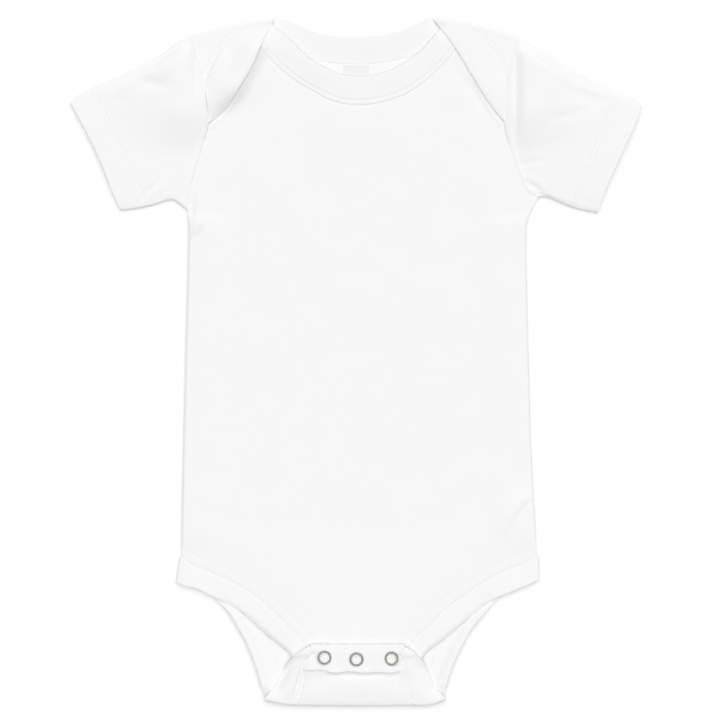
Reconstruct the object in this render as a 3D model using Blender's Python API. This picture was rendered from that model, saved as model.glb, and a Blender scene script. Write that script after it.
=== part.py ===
"""Baby bodysuit with short sleeves, an envelope neck and a snapped crotch, laid flat on its back, front up.

The pieces are the ones that are cut and sewn: walls of cloth, each made from rows of points across the piece.
Sizes are in millimetres and are scaled once, when a mesh is made. X runs to the viewer's right, Y from the
crotch fold up to the neck, and Z up from the floor. "left" and "right" are the viewer's, and "under" is the
height of a layer's lower face. Outlines are tables of (x, y): x from the centre line, y from the crotch fold.
"""
import math

import bmesh
import bpy
from mathutils import Vector

MM = 0.001

# Cloth
CLOTH = 1.0  # wall of the jersey pieces
BAND = 1.2  # wall of the doubled rib bands
SEAM = 0.3  # gap between neighbouring pieces
LOFT = 1.3  # how far the front puffs up over the back

# Heights of the lower faces of the layers
FRONT_UNDER = CLOTH + SEAM
FRONT_UNDER_BANDS = BAND + SEAM  # where the front crosses the back's ribs
LAP_UNDER = 3.0
LAP_LIFT = {"left": 1.6, "right": 0.0}  # how far a lap's free edge stands up half way
LABEL_UNDER = CLOTH + SEAM
NECK_RISE = 1.2  # the front neck lifts over the label
CROTCH_RISE = 0.7  # the front's end lifts over the rings of the studs
TONGUE_UNDER_FOLD = 2.0
TONGUE_UNDER_MIDDLE = 3.9  # the tongue climbs in two steps
TONGUE_UNDER_SNAPS = 5.4
TONGUE_DROOP = 1.2  # the tongue's ribs hang lower than its snap strip

# Where a layer changes level: the place where the change starts, and the place where it is full
LEG_RIBS_FROM = (112.0, 97.0)  # y
NECK_RIBS_FROM = (375.0, 390.0)  # y
NECK_RISE_FROM = (46.0, 18.0)  # distance from the middle of the label's top
NECK_RISE_BELOW_LABEL_TOP = 8.0
NECK_RISE_FLATTEN = 0.8  # the rise is longer up the body than across it
CROTCH_RISE_FROM = (62.0, 40.0)  # y
TONGUE_CLIMBS_FROM = ((1.5, 9.5), (16.0, 23.5))  # y
TONGUE_DROOP_FROM = (27.0, 38.0)  # x either way
PUFF_ACROSS = (0.0, 0.2)  # share of the front's width, from its side seams
PUFF_FROM_LEGS = (0.0, 0.25)  # share of the front's length
PUFF_FROM_NECK = (0.0, 0.31)
SLEEVE_PUFF_FROM = (0.0, 0.25)  # share of the sleeve's length, from the armhole
SLEEVE_HEAD_ALONG = (0.5, 0.0)  # the sleeve's head lies as high as the lap beside it
SLEEVE_HEAD_DOWN = (0.7, 0.4)  # share of the way down the armhole
SLEEVE_FOLDS_FROM = (0.0, 0.16)  # share of the sleeve's width, from its edges

# Sides of the body, from the hip up to the underarm
SIDE = {
    "left": ((-107.0, 93.8), (-106.2, 140.0), (-104.4, 214.0), (-103.2, 260.0), (-102.7, 296.0),
             (-104.8, 306.6)),
    "right": ((110.9, 93.8), (108.6, 136.0), (107.0, 166.0), (106.5, 190.0), (105.0, 244.0), (104.4, 284.0),
              (105.4, 299.0), (111.8, 312.2)),
}
# Armhole seams, from the underarm up to the shoulder
ARMHOLE = {
    "left": ((-104.8, 306.6), (-101.0, 319.8), (-95.6, 338.4), (-90.8, 356.0), (-91.2, 372.0),
             (-95.0, 390.0), (-101.3, 409.0)),
    "right": ((111.8, 312.2), (104.5, 316.4), (97.4, 333.5), (91.5, 354.0), (90.9, 370.0), (93.6, 390.4),
              (98.3, 409.0)),
}
# Shoulder folds, from the armhole in to the seam of the neck rib and on to the rib's free edge
SHOULDER_CLOTH = {
    "left": ((-101.3, 409.0), (-88.3, 413.0), (-66.8, 417.3)),
    "right": ((98.3, 409.0), (84.0, 413.3), (66.8, 417.6)),
}
SHOULDER_RIB_END = {"left": (-50.6, 420.3), "right": (47.9, 420.5)}

# Lap edges: free edge and seam of the rib, from the armhole up to the shoulder fold
LAP_FREE = {
    "left": ((-89.6, 357.3), (-83.4, 362.0), (-78.5, 367.9), (-70.6, 380.6), (-63.8, 392.4), (-58.9, 403.2),
             (-54.9, 412.0), (-50.6, 420.3)),
    "right": ((90.2, 358.3), (84.6, 364.9), (78.7, 373.7), (69.9, 388.5), (61.1, 403.2), (51.7, 415.9),
              (47.9, 420.5)),
}
LAP_SEAM = {
    "left": ((-92.6, 380.6), (-88.3, 391.2), (-82.4, 401.2), (-74.2, 410.6), (-66.8, 417.3)),
    "right": ((91.6, 384.0), (87.6, 396.3), (80.7, 405.8), (74.2, 412.6), (66.8, 417.6)),
}

# Neckline: free edge and seam of each rib, from left to right
BACK_NECK_FREE = ((-50.6, 420.3), (-48.6, 421.9), (-42.9, 420.6), (-35.6, 417.7), (-28.2, 414.3),
                  (-20.8, 412.3), (-13.5, 410.7), (-4.0, 409.9), (4.0, 410.1), (15.9, 411.5), (23.3, 413.0),
                  (30.7, 415.5), (38.0, 418.9), (44.0, 422.0), (46.6, 422.1), (47.9, 420.5))
BACK_NECK_SEAM = ((-66.8, 417.3), (-57.6, 410.6), (-46.6, 404.3), (-30.7, 398.3), (-19.3, 395.6),
                  (-8.0, 394.1), (8.0, 394.1), (19.6, 395.6), (34.5, 399.1), (48.4, 405.3), (58.0, 411.2),
                  (66.8, 417.6))
FRONT_NECK_FREE = ((-53.2, 418.8), (-50.6, 416.9), (-46.8, 414.3), (-37.6, 405.4), (-30.7, 398.5),
                   (-21.6, 392.2), (-10.1, 387.2), (3.6, 385.7), (17.4, 388.2), (28.8, 393.4),
                   (40.2, 401.9), (48.3, 411.1), (51.7, 415.4), (54.2, 418.4))
FRONT_NECK_SEAM = ((-67.0, 416.2), (-57.6, 402.5), (-49.0, 392.8), (-37.6, 383.6), (-26.2, 376.7),
                   (-14.7, 371.6), (-3.2, 369.0), (8.2, 369.3), (19.6, 371.6), (31.1, 375.6), (42.5, 383.1),
                   (54.0, 393.9), (61.1, 402.9), (68.5, 416.4))

# Leg openings of the front: free edge and seam of the rib, from the hip down to the crotch
FRONT_LEG_FREE = {
    "left": ((-108.9, 75.6), (-105.0, 73.7), (-100.2, 72.9), (-95.6, 71.3), (-90.1, 68.4), (-75.2, 61.2),
             (-66.4, 55.1), (-56.3, 45.7), (-46.1, 37.6), (-39.6, 31.4), (-36.0, 22.5)),
    "right": ((110.8, 76.9), (105.8, 74.5), (98.2, 71.5), (86.5, 66.4), (80.4, 63.3), (70.9, 55.8),
              (62.8, 49.0), (53.4, 41.0), (42.6, 32.8), (37.0, 22.5)),
}
FRONT_LEG_SEAM = {
    "left": ((-107.0, 90.3), (-98.8, 85.8), (-86.7, 80.9), (-73.1, 74.6), (-61.0, 66.6), (-49.5, 56.5),
             (-38.8, 45.9), (-31.0, 36.5), (-24.5, 22.5)),
    "right": ((111.0, 91.2), (102.7, 87.2), (93.9, 83.9), (81.8, 78.1), (68.2, 69.0), (55.4, 59.6),
              (47.3, 51.7), (36.5, 41.5), (30.0, 32.0), (25.5, 22.5)),
}
# Leg openings of the back, from the hip down to the crotch fold
BACK_LEG_FREE = {
    "left": ((-108.9, 75.6), (-105.0, 73.7), (-100.2, 72.9), (-95.6, 71.3), (-91.4, 69.0), (-86.8, 65.5),
             (-81.9, 61.2), (-76.9, 56.3), (-72.4, 48.3), (-67.6, 40.3), (-62.7, 28.6), (-59.1, 17.3),
             (-55.8, 5.0)),
    "right": ((110.8, 76.9), (105.8, 74.5), (98.2, 71.5), (93.5, 69.2), (88.6, 66.2), (83.7, 62.4),
              (78.8, 57.0), (73.9, 51.5), (69.0, 44.6), (64.1, 35.5), (59.4, 25.4), (56.0, 15.2),
              (54.3, 5.3)),
}
BACK_LEG_SEAM = {
    "left": ((-107.0, 90.3), (-94.0, 84.5), (-77.8, 76.0), (-68.5, 66.0), (-62.0, 57.0), (-55.6, 46.5),
             (-51.0, 35.0), (-47.5, 23.5), (-44.0, 12.0), (-39.5, 1.8)),
    "right": ((111.0, 91.2), (102.0, 86.5), (92.0, 82.3), (82.0, 77.0), (73.0, 69.0), (65.4, 60.4),
              (59.5, 51.5), (53.8, 41.8), (48.7, 31.4), (43.5, 18.5), (35.0, 1.8)),
}
# Sides of the tongue, from the crotch fold up to its end
TONGUE_FREE = {
    "left": ((-55.8, 5.0), (-52.6, 8.6), (-49.0, 13.5), (-45.4, 19.9), (-42.6, 25.4), (-38.3, 29.9),
             (-34.9, 32.9), (-30.6, 35.7), (-25.5, 38.1)),
    "right": ((54.3, 5.3), (51.6, 8.0), (48.1, 12.0), (45.7, 17.5), (42.8, 23.8), (39.5, 29.3), (35.6, 33.2),
              (31.6, 35.6), (27.6, 37.6)),
}
TONGUE_SEAM = {
    "left": ((-39.5, 1.8), (-37.5, 9.0), (-35.5, 17.0), (-34.2, 23.6), (-31.8, 28.4), (-26.9, 32.0)),
    "right": ((35.0, 1.8), (32.0, 10.0), (30.2, 18.0), (29.8, 25.0), (27.2, 31.5)),
}
TONGUE_END = 37.0  # y
CROTCH_FOLD_MIDDLE = (0.0, 1.5)
CROTCH_SAG = {"left": 0.2, "right": 1.5}  # how far a rib's fold sags below a straight line
PLACKET_LOW = 21.4  # lower edge of the snap strip
PLACKET_INSET = 1.0  # how far the strip stops short of the ribs' seams
PLACKET_LIP = 1.2  # how far the strip turns down over the tongue's end
PLACKET_LIP_ROUND = 0.7  # share of the lip's reach where it turns down
SHOULDER_INSET = 1.0  # how far the front's shoulder edge lies inside the fold
ARMHOLE_GAP = 0.4
LAP_POINT = 1.0  # how far the lap's cloth stops short of its pointed end

# Sleeves: folded top edge and underarm edge from the armhole out, and the cuff between them from the top down
SLEEVE_TOP = {
    "left": ((-101.9, 408.8), (-107.1, 406.4), (-117.2, 399.4), (-122.9, 395.7), (-129.2, 392.6),
             (-141.4, 387.1), (-153.7, 381.8), (-163.0, 377.6), (-168.5, 374.8), (-172.8, 371.4),
             (-174.6, 368.6)),
    "right": ((98.9, 408.8), (108.2, 403.3), (126.8, 392.3), (133.5, 388.3), (138.6, 385.3), (153.3, 378.4),
              (163.0, 374.5), (169.5, 371.9), (174.9, 367.8)),
}
SLEEVE_UNDER = {
    "left": ((-105.5, 308.0), (-109.0, 309.8), (-113.8, 311.6), (-126.5, 308.0), (-139.3, 305.6),
             (-144.9, 305.2)),
    "right": ((112.9, 313.4), (117.0, 313.4), (126.8, 309.5), (136.6, 306.0), (148.5, 303.6)),
}
CUFF = {
    "left": ((-170.1, 360.4), (-165.6, 352.6), (-160.4, 342.0), (-155.6, 331.0), (-151.3, 320.0),
             (-147.6, 311.0)),
    "right": ((171.2, 356.8), (164.4, 342.4), (158.8, 330.0), (154.2, 319.7), (151.0, 311.5)),
}
SLEEVE_PUFF = 0.9

# Broad folds: x and y of both ends, half width, and rise (a trough is negative)
SLEEVE_FOLDS = {
    "left": (
        (-101.5, 398.0, -100.5, 368.0, 4.5, -0.7),
        (-141.0, 383.0, -116.0, 378.0, 7.0, -0.7),
        (-131.0, 313.0, -118.0, 323.0, 4.0, -0.5),
    ),
    "right": (
        (101.5, 400.0, 101.5, 348.0, 6.0, -1.1),
        (150.0, 372.0, 120.0, 360.0, 8.0, -0.8),
        (106.0, 322.0, 120.0, 327.0, 4.0, -0.4),
    ),
}

# Fasteners
SNAPS = ((-19.5, 29.7), (0.3, 28.8), (21.8, 29.0))
SNAP_RADIUS = 4.35
SNAP_HOLE = 2.95
SNAP_STEPS = 16
CAP_HEIGHT = 0.8
DISC_HEIGHT = 0.5
SOCKET_HEIGHT = 0.8
SOCKET_HOLE = 1.9
POST_RADIUS = 1.5
POST_HEIGHT = 0.8
POST_RING_HEIGHT = 0.6
RING_ROUND = 0.4  # share of a ring's height that its rounding takes
SMOOTH_ANGLE = 40.0  # degrees
LABEL_SIZE = (15.3, 20.0)
LABEL_TOP = 393.4

# Rows and columns of the grids
SIDE_ROWS = 14
ARMHOLE_ROWS = 9
SHOULDER_COLUMNS = 6
NECK_COLUMNS = 18
LEG_COLUMNS = 12
CROTCH_COLUMNS = 6
BEND_ROWS = 3
RIB_COLUMNS = 2
TONGUE_ROWS = 8
LAP_ROWS = 8
SLEEVE_ROWS = 12
SLEEVE_COLUMNS = 9
PLACKET_ROWS = 6
PLACKET_COLUMNS = 12
LABEL_ROWS = 4
CURVE_STEPS = 8  # points for each pair of an outline's keys, before they are spaced evenly
CUT_SPANS = 60  # an edge that is cut short is read this finely
CUT_KEYS_EVERY = 4

PRESS = 0.05  # what lies lower than this is pressed flat onto the floor

# Name: colour, roughness, metallic
FINISHES = {
    "white_jersey": ((0.9, 0.9, 0.9), 0.9, 0.0),
    "white_rib": ((0.9, 0.9, 0.9), 0.9, 0.0),
    "white_satin": ((0.84, 0.84, 0.85), 0.45, 0.0),
    "snap_metal": ((0.42, 0.4, 0.39), 0.3, 1.0),
}


# ---- curves and rows of points ----

def smoothstep(amount):
    amount = min(max(amount, 0.0), 1.0)
    return amount * amount * (3.0 - 2.0 * amount)


def ramp(value, start, full):
    """0 up to start, 1 from full on, and smooth between."""
    return smoothstep((value - start) / (full - start))


def spline_point(before, start, end, after, t):
    """One point of the Catmull-Rom curve between start and end."""
    return 0.5 * (2.0 * start + (end - before) * t + (2.0 * before - 5.0 * start + 4.0 * end - after) * t ** 2
                  + (3.0 * start - before - 3.0 * end + after) * t ** 3)


def curve(keys, spans):
    """A smooth curve through the keys, as spans + 1 points evenly spaced along it."""
    keys = [Vector(key) for key in keys]
    ends = [2.0 * keys[0] - keys[1]] + keys + [2.0 * keys[-1] - keys[-2]]
    fine = []
    for i in range(1, len(ends) - 2):
        for step in range(CURVE_STEPS):
            fine.append(spline_point(*ends[i - 1:i + 3], step / CURVE_STEPS))
    fine.append(keys[-1])
    lengths = [0.0]
    for a, b in zip(fine, fine[1:]):
        lengths.append(lengths[-1] + (b - a).length)
    points = []
    j = 0
    for i in range(spans + 1):
        goal = lengths[-1] * i / spans
        while j < len(fine) - 2 and lengths[j + 1] < goal:
            j += 1
        share = (goal - lengths[j]) / (lengths[j + 1] - lengths[j])
        points.append(fine[j].lerp(fine[j + 1], share))
    return points


def joined(*runs):
    """Runs of points end to end, with the shared corner points once."""
    points = list(runs[0])
    for run in runs[1:]:
        points += run[1:]
    return points


def crossing(start_edge, end_edge, spans):
    """Straight rows of points from one edge to another."""
    return [[a.lerp(b, j / spans) for j in range(spans + 1)] for a, b in zip(start_edge, end_edge)]


def cut(points, keep):
    """The points that a test keeps, thinned to a few keys."""
    kept = [point for point in points if keep(point)]
    return kept[:-2:CUT_KEYS_EVERY] + kept[-1:]


def patch(first, last, start_edge, end_edge, shares):
    """Rows of points from one curve to another, held by the edges that join their ends."""
    rows = []
    across = len(first) - 1
    for a, b, v in zip(start_edge, end_edge, shares):
        row = []
        for j, (near, far) in enumerate(zip(first, last)):
            u = j / across
            corners = (first[0].lerp(first[-1], u)).lerp(last[0].lerp(last[-1], u), v)
            row.append(near.lerp(far, v) + a.lerp(b, u) - corners)
        rows.append(row)
    return rows


def heights(left, right):
    """How far up the body each pair of points on its sides is, from 0 to 1."""
    levels = [(a.y + b.y) / 2.0 for a, b in zip(left, right)]
    return [(level - levels[0]) / (levels[-1] - levels[0]) for level in levels]


def lifted(rows, height):
    """Rows of (x, y) points with z added; height(x, y, row share, column share)."""
    last_row = len(rows) - 1
    last_column = len(rows[0]) - 1
    return [[Vector((p.x, p.y, height(p.x, p.y, i / last_row, j / last_column))) for j, p in enumerate(row)]
            for i, row in enumerate(rows)]


def bend(start, end, outward):
    """The half-round rows that carry a sheet from one level to another round a fold."""
    rows = []
    for k in range(1, BEND_ROWS + 1):
        angle = math.pi * k / (BEND_ROWS + 1)
        row = []
        for a, b in zip(start, end):
            middle = (a + b) / 2.0
            out = outward * ((b - a).length / 2.0)
            row.append(middle + (a - middle) * math.cos(angle) + out * math.sin(angle))
        rows.append(row)
    return rows


def outward_of(start, end):
    """Unit vector square to the line from start to end, to its left."""
    along = (Vector(end).xy - Vector(start).xy).normalized()
    return Vector((-along.y, along.x, 0.0))


def edge_outward(edge, i, inside):
    """Unit vector square to an edge at its point i, away from a point inside the piece."""
    out = outward_of(edge[max(i - 1, 0)], edge[min(i + 1, len(edge) - 1)])
    return out if out.xy.dot((edge[i] - inside).xy) > 0.0 else -out


def strip(free, seam, height):
    """Rows across a rib band, from its free edge to its seam, kept clear of the cloth it is sewn to."""
    rows = []
    for i, (a, b) in enumerate(zip(free, seam)):
        b = b - edge_outward(seam, i, a).xy * SEAM
        rows.append([a.lerp(b, j / RIB_COLUMNS) for j in range(RIB_COLUMNS + 1)])
    return lifted(rows, height)


def fold_rise(folds, x, y):
    """Height that the listed folds add at a point."""
    total = 0.0
    here = Vector((x, y))
    for x0, y0, x1, y1, half_width, rise in folds:
        start = Vector((x0, y0))
        along = Vector((x1, y1)) - start
        share = min(max((here - start).dot(along) / along.length_squared, 0.0), 1.0)
        distance = (here - start - along * share).length
        total += rise * math.exp(-(distance / half_width) ** 2)
    return total


# ---- levels of the layers ----

def front_under(x, y):
    """Lower face of the front layer, which lifts over the ribs, the label and the studs' rings."""
    on_ribs = max(ramp(y, *LEG_RIBS_FROM), ramp(y, *NECK_RIBS_FROM))
    under = FRONT_UNDER + (FRONT_UNDER_BANDS - FRONT_UNDER) * on_ribs
    from_label = math.hypot(x, (y - LABEL_TOP + NECK_RISE_BELOW_LABEL_TOP) * NECK_RISE_FLATTEN)
    under += NECK_RISE * ramp(from_label, *NECK_RISE_FROM)
    under += CROTCH_RISE * ramp(y, *CROTCH_RISE_FROM)
    return under


def tongue_under(x, y):
    """Lower face of the tongue, rising from the crotch fold to the snaps and drooping at its ribs."""
    first, second = [ramp(y, *climb) for climb in TONGUE_CLIMBS_FROM]
    climb = (TONGUE_UNDER_MIDDLE - TONGUE_UNDER_FOLD) * first
    climb += (TONGUE_UNDER_SNAPS - TONGUE_UNDER_MIDDLE) * second
    droop = TONGUE_DROOP * ramp(abs(x), *TONGUE_DROOP_FROM)
    return TONGUE_UNDER_FOLD + climb * (1.0 - droop / (TONGUE_UNDER_SNAPS - TONGUE_UNDER_FOLD))


def back_cloth_level(x, y, i, j):
    return CLOTH / 2.0


def back_rib_level(x, y, i, j):
    return BAND / 2.0


def lap_cloth_level(x, y, i, j):
    return LAP_UNDER + CLOTH / 2.0


def lap_rib_level(side):
    def level(x, y, i, j):
        return LAP_UNDER + BAND / 2.0 + LAP_LIFT[side] * math.sin(math.pi * i) * (1.0 - j)
    return level


def tongue_cloth_level(x, y, i, j):
    return tongue_under(x, y) + CLOTH / 2.0


def tongue_rib_level(x, y, i, j):
    return tongue_under(x, y) + BAND / 2.0


def placket_level(x, y, i, j):
    return tongue_under(x, y) + CLOTH + SEAM + CLOTH / 2.0


def front_rib_level(x, y, i, j):
    return front_under(x, y) + BAND / 2.0


def front_cloth_level(x, y, i, j):
    """The front: flat along its seams, puffed between them, and pressed down beside the laps."""
    across = ramp(min(j, 1.0 - j), *PUFF_ACROSS)
    along = min(ramp(i, *PUFF_FROM_LEGS), ramp(1.0 - i, *PUFF_FROM_NECK))
    return front_under(x, y) + CLOTH / 2.0 + LOFT * across * along


# ---- meshes ----

def material(name, color, roughness, metallic):
    new = bpy.data.materials.new(name)
    new.use_nodes = True
    shader = new.node_tree.nodes["Principled BSDF"]
    shader.inputs["Base Color"].default_value = (*color, 1.0)
    shader.inputs["Roughness"].default_value = roughness
    shader.inputs["Metallic"].default_value = metallic
    return new


def add_object(name, bm, finish):
    """A named object from a bmesh in millimetres."""
    bmesh.ops.remove_doubles(bm, verts=bm.verts, dist=0.001)
    bmesh.ops.recalc_face_normals(bm, faces=bm.faces)
    bmesh.ops.scale(bm, vec=(MM, MM, MM), verts=bm.verts)
    mesh = bpy.data.meshes.new(name)
    bm.to_mesh(mesh)
    bm.free()
    mesh.materials.append(finish)
    new = bpy.data.objects.new(name, mesh)
    bpy.context.scene.collection.objects.link(new)
    return new


def add_rows(bm, rows, closed=False):
    """Faces between rows of points; closed joins the last row to the first."""
    made = [[bm.verts.new(point) for point in row] for row in rows]
    pairs = list(zip(made, made[1:]))
    if closed:
        pairs.append((made[-1], made[0]))
    for a, b in pairs:
        for j in range(len(a) - 1):
            bm.faces.new((a[j], a[j + 1], b[j + 1], b[j]))


def sheet(name, sheets, wall, finish, closed=False):
    """A wall of cloth about its middle surface, given as one or more lists of rows that share edges."""
    bm = bmesh.new()
    for rows in sheets:
        add_rows(bm, rows, closed)
    new = add_object(name, bm, finish)
    thicken = new.modifiers.new("wall", "SOLIDIFY")
    thicken.thickness = wall * MM
    thicken.offset = 0.0
    thicken.use_even_offset = True
    thicken.use_quality_normals = True
    return new


def turned(name, profile, centre, finish):
    """A solid turned round a vertical axis from (radius, height) points, closed unless they meet the axis."""
    bm = bmesh.new()
    ring = [bm.verts.new((radius, 0.0, height)) for radius, height in profile]
    edges = [bm.edges.new((a, b)) for a, b in zip(ring, ring[1:])]
    if profile[0][0] > 0.0:
        edges.append(bm.edges.new((ring[-1], ring[0])))
    bmesh.ops.spin(bm, geom=ring + edges, cent=(0, 0, 0), axis=(0, 0, 1), angle=2.0 * math.pi,
                   steps=SNAP_STEPS, use_merge=True)
    bmesh.ops.translate(bm, vec=centre, verts=bm.verts)
    new = add_object(name, bm, finish)
    new.data.shade_smooth()
    new.data.set_sharp_from_angle(angle=math.radians(SMOOTH_ANGLE))
    return new


# ---- pieces ----

def body(bottom, top):
    """Rows of points across a body piece, between its legs' edge and its neck's."""
    edges = []
    for side, end in (("left", 0), ("right", -1)):
        edge = joined(curve(SIDE[side], SIDE_ROWS), curve(ARMHOLE[side], ARMHOLE_ROWS))
        edge[0] = bottom[end]
        edge[-1] = top[end]
        edges.append(edge)
    return patch(bottom, top, *edges, heights(*edges))


def back_panel(finish):
    """The back, with its shoulder wings folded forward as laps and its tongue folded up over the crotch."""
    shoulder = {side: curve(SHOULDER_CLOTH[side], SHOULDER_COLUMNS) for side in SIDE}
    leg = {side: curve(BACK_LEG_SEAM[side], LEG_COLUMNS) for side in SIDE}
    fold = curve((BACK_LEG_SEAM["left"][-1], CROTCH_FOLD_MIDDLE, BACK_LEG_SEAM["right"][-1]), CROTCH_COLUMNS)
    bottom = joined(leg["left"], fold, leg["right"][::-1])
    top = joined(shoulder["left"], curve(BACK_NECK_SEAM, NECK_COLUMNS), shoulder["right"][::-1])
    sheets = [lifted(body(bottom, top), back_cloth_level)]
    for side in SIDE:
        sheets.append(shoulder_lap(side, shoulder[side]))

    edges = [curve(TONGUE_SEAM[side], TONGUE_ROWS) + [tongue_corner(side)] for side in SIDE]
    tongue = crossing(*edges, CROTCH_COLUMNS)
    tongue[0] = fold
    tongue = lifted(tongue, tongue_cloth_level)
    low = lifted([fold, fold], back_cloth_level)[0]
    sheets.append([low] + bend(low, tongue[0], Vector((0.0, -1.0, 0.0))) + tongue)
    return sheet("back_panel", sheets, CLOTH, finish)


def tongue_corner(side):
    """End of the tongue's cloth, beside the end of its rib."""
    x = TONGUE_FREE[side][-1][0]
    return Vector((x - math.copysign(2.0 * SEAM, x), TONGUE_END))


def lap_outline(side):
    """Armhole edge and rib seam of a lap, both from the shoulder fold down to where they meet."""
    x, y = LAP_SEAM[side][0]
    armhole = cut(curve(ARMHOLE[side], CUT_SPANS)[::-1], lambda p: p.y > y + LAP_POINT)
    seam = cut(curve(LAP_SEAM[side], CUT_SPANS)[::-1], lambda p: abs(p.x) < abs(x) - LAP_POINT)
    return curve(armhole, LAP_ROWS), curve(seam, LAP_ROWS)


def shoulder_lap(side, shoulder):
    """The lap: round the shoulder fold and down over the front, between the armhole and its rib."""
    armhole, seam = lap_outline(side)
    lap = crossing(armhole, seam, SHOULDER_COLUMNS)
    lap[0] = shoulder
    lap = lifted(lap, lap_cloth_level)
    low = lifted([shoulder, shoulder], back_cloth_level)[0]
    return [low] + bend(low, lap[0], shoulder_outward(side)) + lap


def shoulder_outward(side):
    ends = (SHOULDER_CLOTH[side][0], SHOULDER_RIB_END[side])
    if side == "right":
        ends = ends[::-1]
    return outward_of(*ends)


def front_panel(finish):
    """The front, whose shoulder wings lie inside the laps and whose end lies inside the tongue."""
    inset = Vector((0.0, -SHOULDER_INSET))
    shoulder = {side: [p + inset for p in curve(SHOULDER_CLOTH[side], SHOULDER_COLUMNS)] for side in SIDE}
    leg = {side: curve(FRONT_LEG_SEAM[side], LEG_COLUMNS) for side in SIDE}
    neck = curve(FRONT_NECK_SEAM, NECK_COLUMNS)
    shoulder["left"][-1] = neck[0]
    shoulder["right"][-1] = neck[-1]
    end = curve((FRONT_LEG_SEAM["left"][-1], FRONT_LEG_SEAM["right"][-1]), CROTCH_COLUMNS)
    bottom = joined(leg["left"], end, leg["right"][::-1])
    top = joined(shoulder["left"], neck, shoulder["right"][::-1])
    return sheet("front_panel", [lifted(body(bottom, top), front_cloth_level)], CLOTH, finish)


def neckband_front(finish):
    free = curve(FRONT_NECK_FREE, NECK_COLUMNS)
    seam = curve(FRONT_NECK_SEAM, NECK_COLUMNS)
    return sheet("neckband_front", [strip(free, seam, front_rib_level)], BAND, finish)


def neckband_back(finish):
    """One strip: up the left lap, over the shoulder, round the back neck, and down the right lap."""
    laps = {}
    for side in SIDE:
        laps[side] = strip(curve(LAP_FREE[side], LAP_ROWS), curve(LAP_SEAM[side], LAP_ROWS),
                           lap_rib_level(side))
    neck = strip(curve(BACK_NECK_FREE, NECK_COLUMNS), curve(BACK_NECK_SEAM, NECK_COLUMNS), back_rib_level)
    rows = laps["left"]
    rows += bend(laps["left"][-1], neck[0], shoulder_outward("left")) + neck
    rows += bend(neck[-1], laps["right"][-1], shoulder_outward("right")) + laps["right"][::-1]
    return sheet("neckband_back", [rows], BAND, finish)


def leg_band(side, finish):
    """One strip: up the front's leg edge, round the hip, down the back's, and up the side of the tongue."""
    sideways = Vector((-1.0 if side == "left" else 1.0, 0.0, 0.0))
    spans = LEG_COLUMNS
    front = strip(curve(FRONT_LEG_FREE[side], spans), curve(FRONT_LEG_SEAM[side], spans), front_rib_level)
    back = strip(curve(BACK_LEG_FREE[side], spans), curve(BACK_LEG_SEAM[side], spans), back_rib_level)
    spans = TONGUE_ROWS
    tongue = strip(curve(TONGUE_FREE[side], spans), curve(TONGUE_SEAM[side], spans), tongue_rib_level)
    for row in (back[-1], tongue[0]):
        for j, point in enumerate(row):
            point.y -= CROTCH_SAG[side] * math.sin(math.pi * j / RIB_COLUMNS)
    rows = front[::-1]
    rows += bend(front[0], back[0], sideways) + back
    rows += bend(back[-1], tongue[0], edge_outward(back[-1], 0, back[-2][0])) + tongue
    return sheet("leg_band_" + side, [rows], BAND, finish)


def sleeve_level(side, x, y, i, j):
    """Middle of a sleeve's upper layer: i runs from the armhole to the cuff, j from the top fold down."""
    lap = LAP_UNDER - FRONT_UNDER
    head = lap * ramp(j, *SLEEVE_HEAD_DOWN) * ramp(i, *SLEEVE_HEAD_ALONG)
    puff = SLEEVE_PUFF * ramp(i, *SLEEVE_PUFF_FROM) * math.sin(math.pi * j) ** 0.5
    folds = fold_rise(SLEEVE_FOLDS[side], x, y) * ramp(min(j, 1.0 - j), *SLEEVE_FOLDS_FROM)
    return FRONT_UNDER + CLOTH / 2.0 + max(head + puff + folds, 0.0)


def sleeve(side, finish):
    """A flattened tube of rings, each along the lower layer and back along the upper one."""
    clear = Vector((-ARMHOLE_GAP if side == "left" else ARMHOLE_GAP, 0.0))
    armhole = [p + clear for p in curve(ARMHOLE[side], SLEEVE_COLUMNS)[::-1]]
    top = curve(SLEEVE_TOP[side], SLEEVE_ROWS)
    under = curve(SLEEVE_UNDER[side], SLEEVE_ROWS)
    armhole[0] = top[0]
    armhole[-1] = under[0]
    cuff = curve((SLEEVE_TOP[side][-1], *CUFF[side], SLEEVE_UNDER[side][-1]), SLEEVE_COLUMNS)
    shares = [i / SLEEVE_ROWS for i in range(SLEEVE_ROWS + 1)]
    columns = patch(armhole, cuff, top, under, shares)
    rings = []
    for i, (column, share) in enumerate(zip(columns, shares)):
        lower = [Vector((p.x, p.y, CLOTH / 2.0)) for p in column]
        upper = [Vector((p.x, p.y, sleeve_level(side, p.x, p.y, share, j / SLEEVE_COLUMNS)))
                 for j, p in enumerate(column)]
        turn_under = [row[0] for row in bend(lower[-1:], upper[-1:], edge_outward(under, i, top[i]))]
        turn_top = [row[0] for row in bend(upper[:1], lower[:1], edge_outward(top, i, under[i]))]
        rings.append(lower + turn_under + upper[::-1] + turn_top)
    around = [list(row) for row in zip(*rings)]
    return sheet("sleeve_" + side, [around], CLOTH, finish, closed=True)


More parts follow.
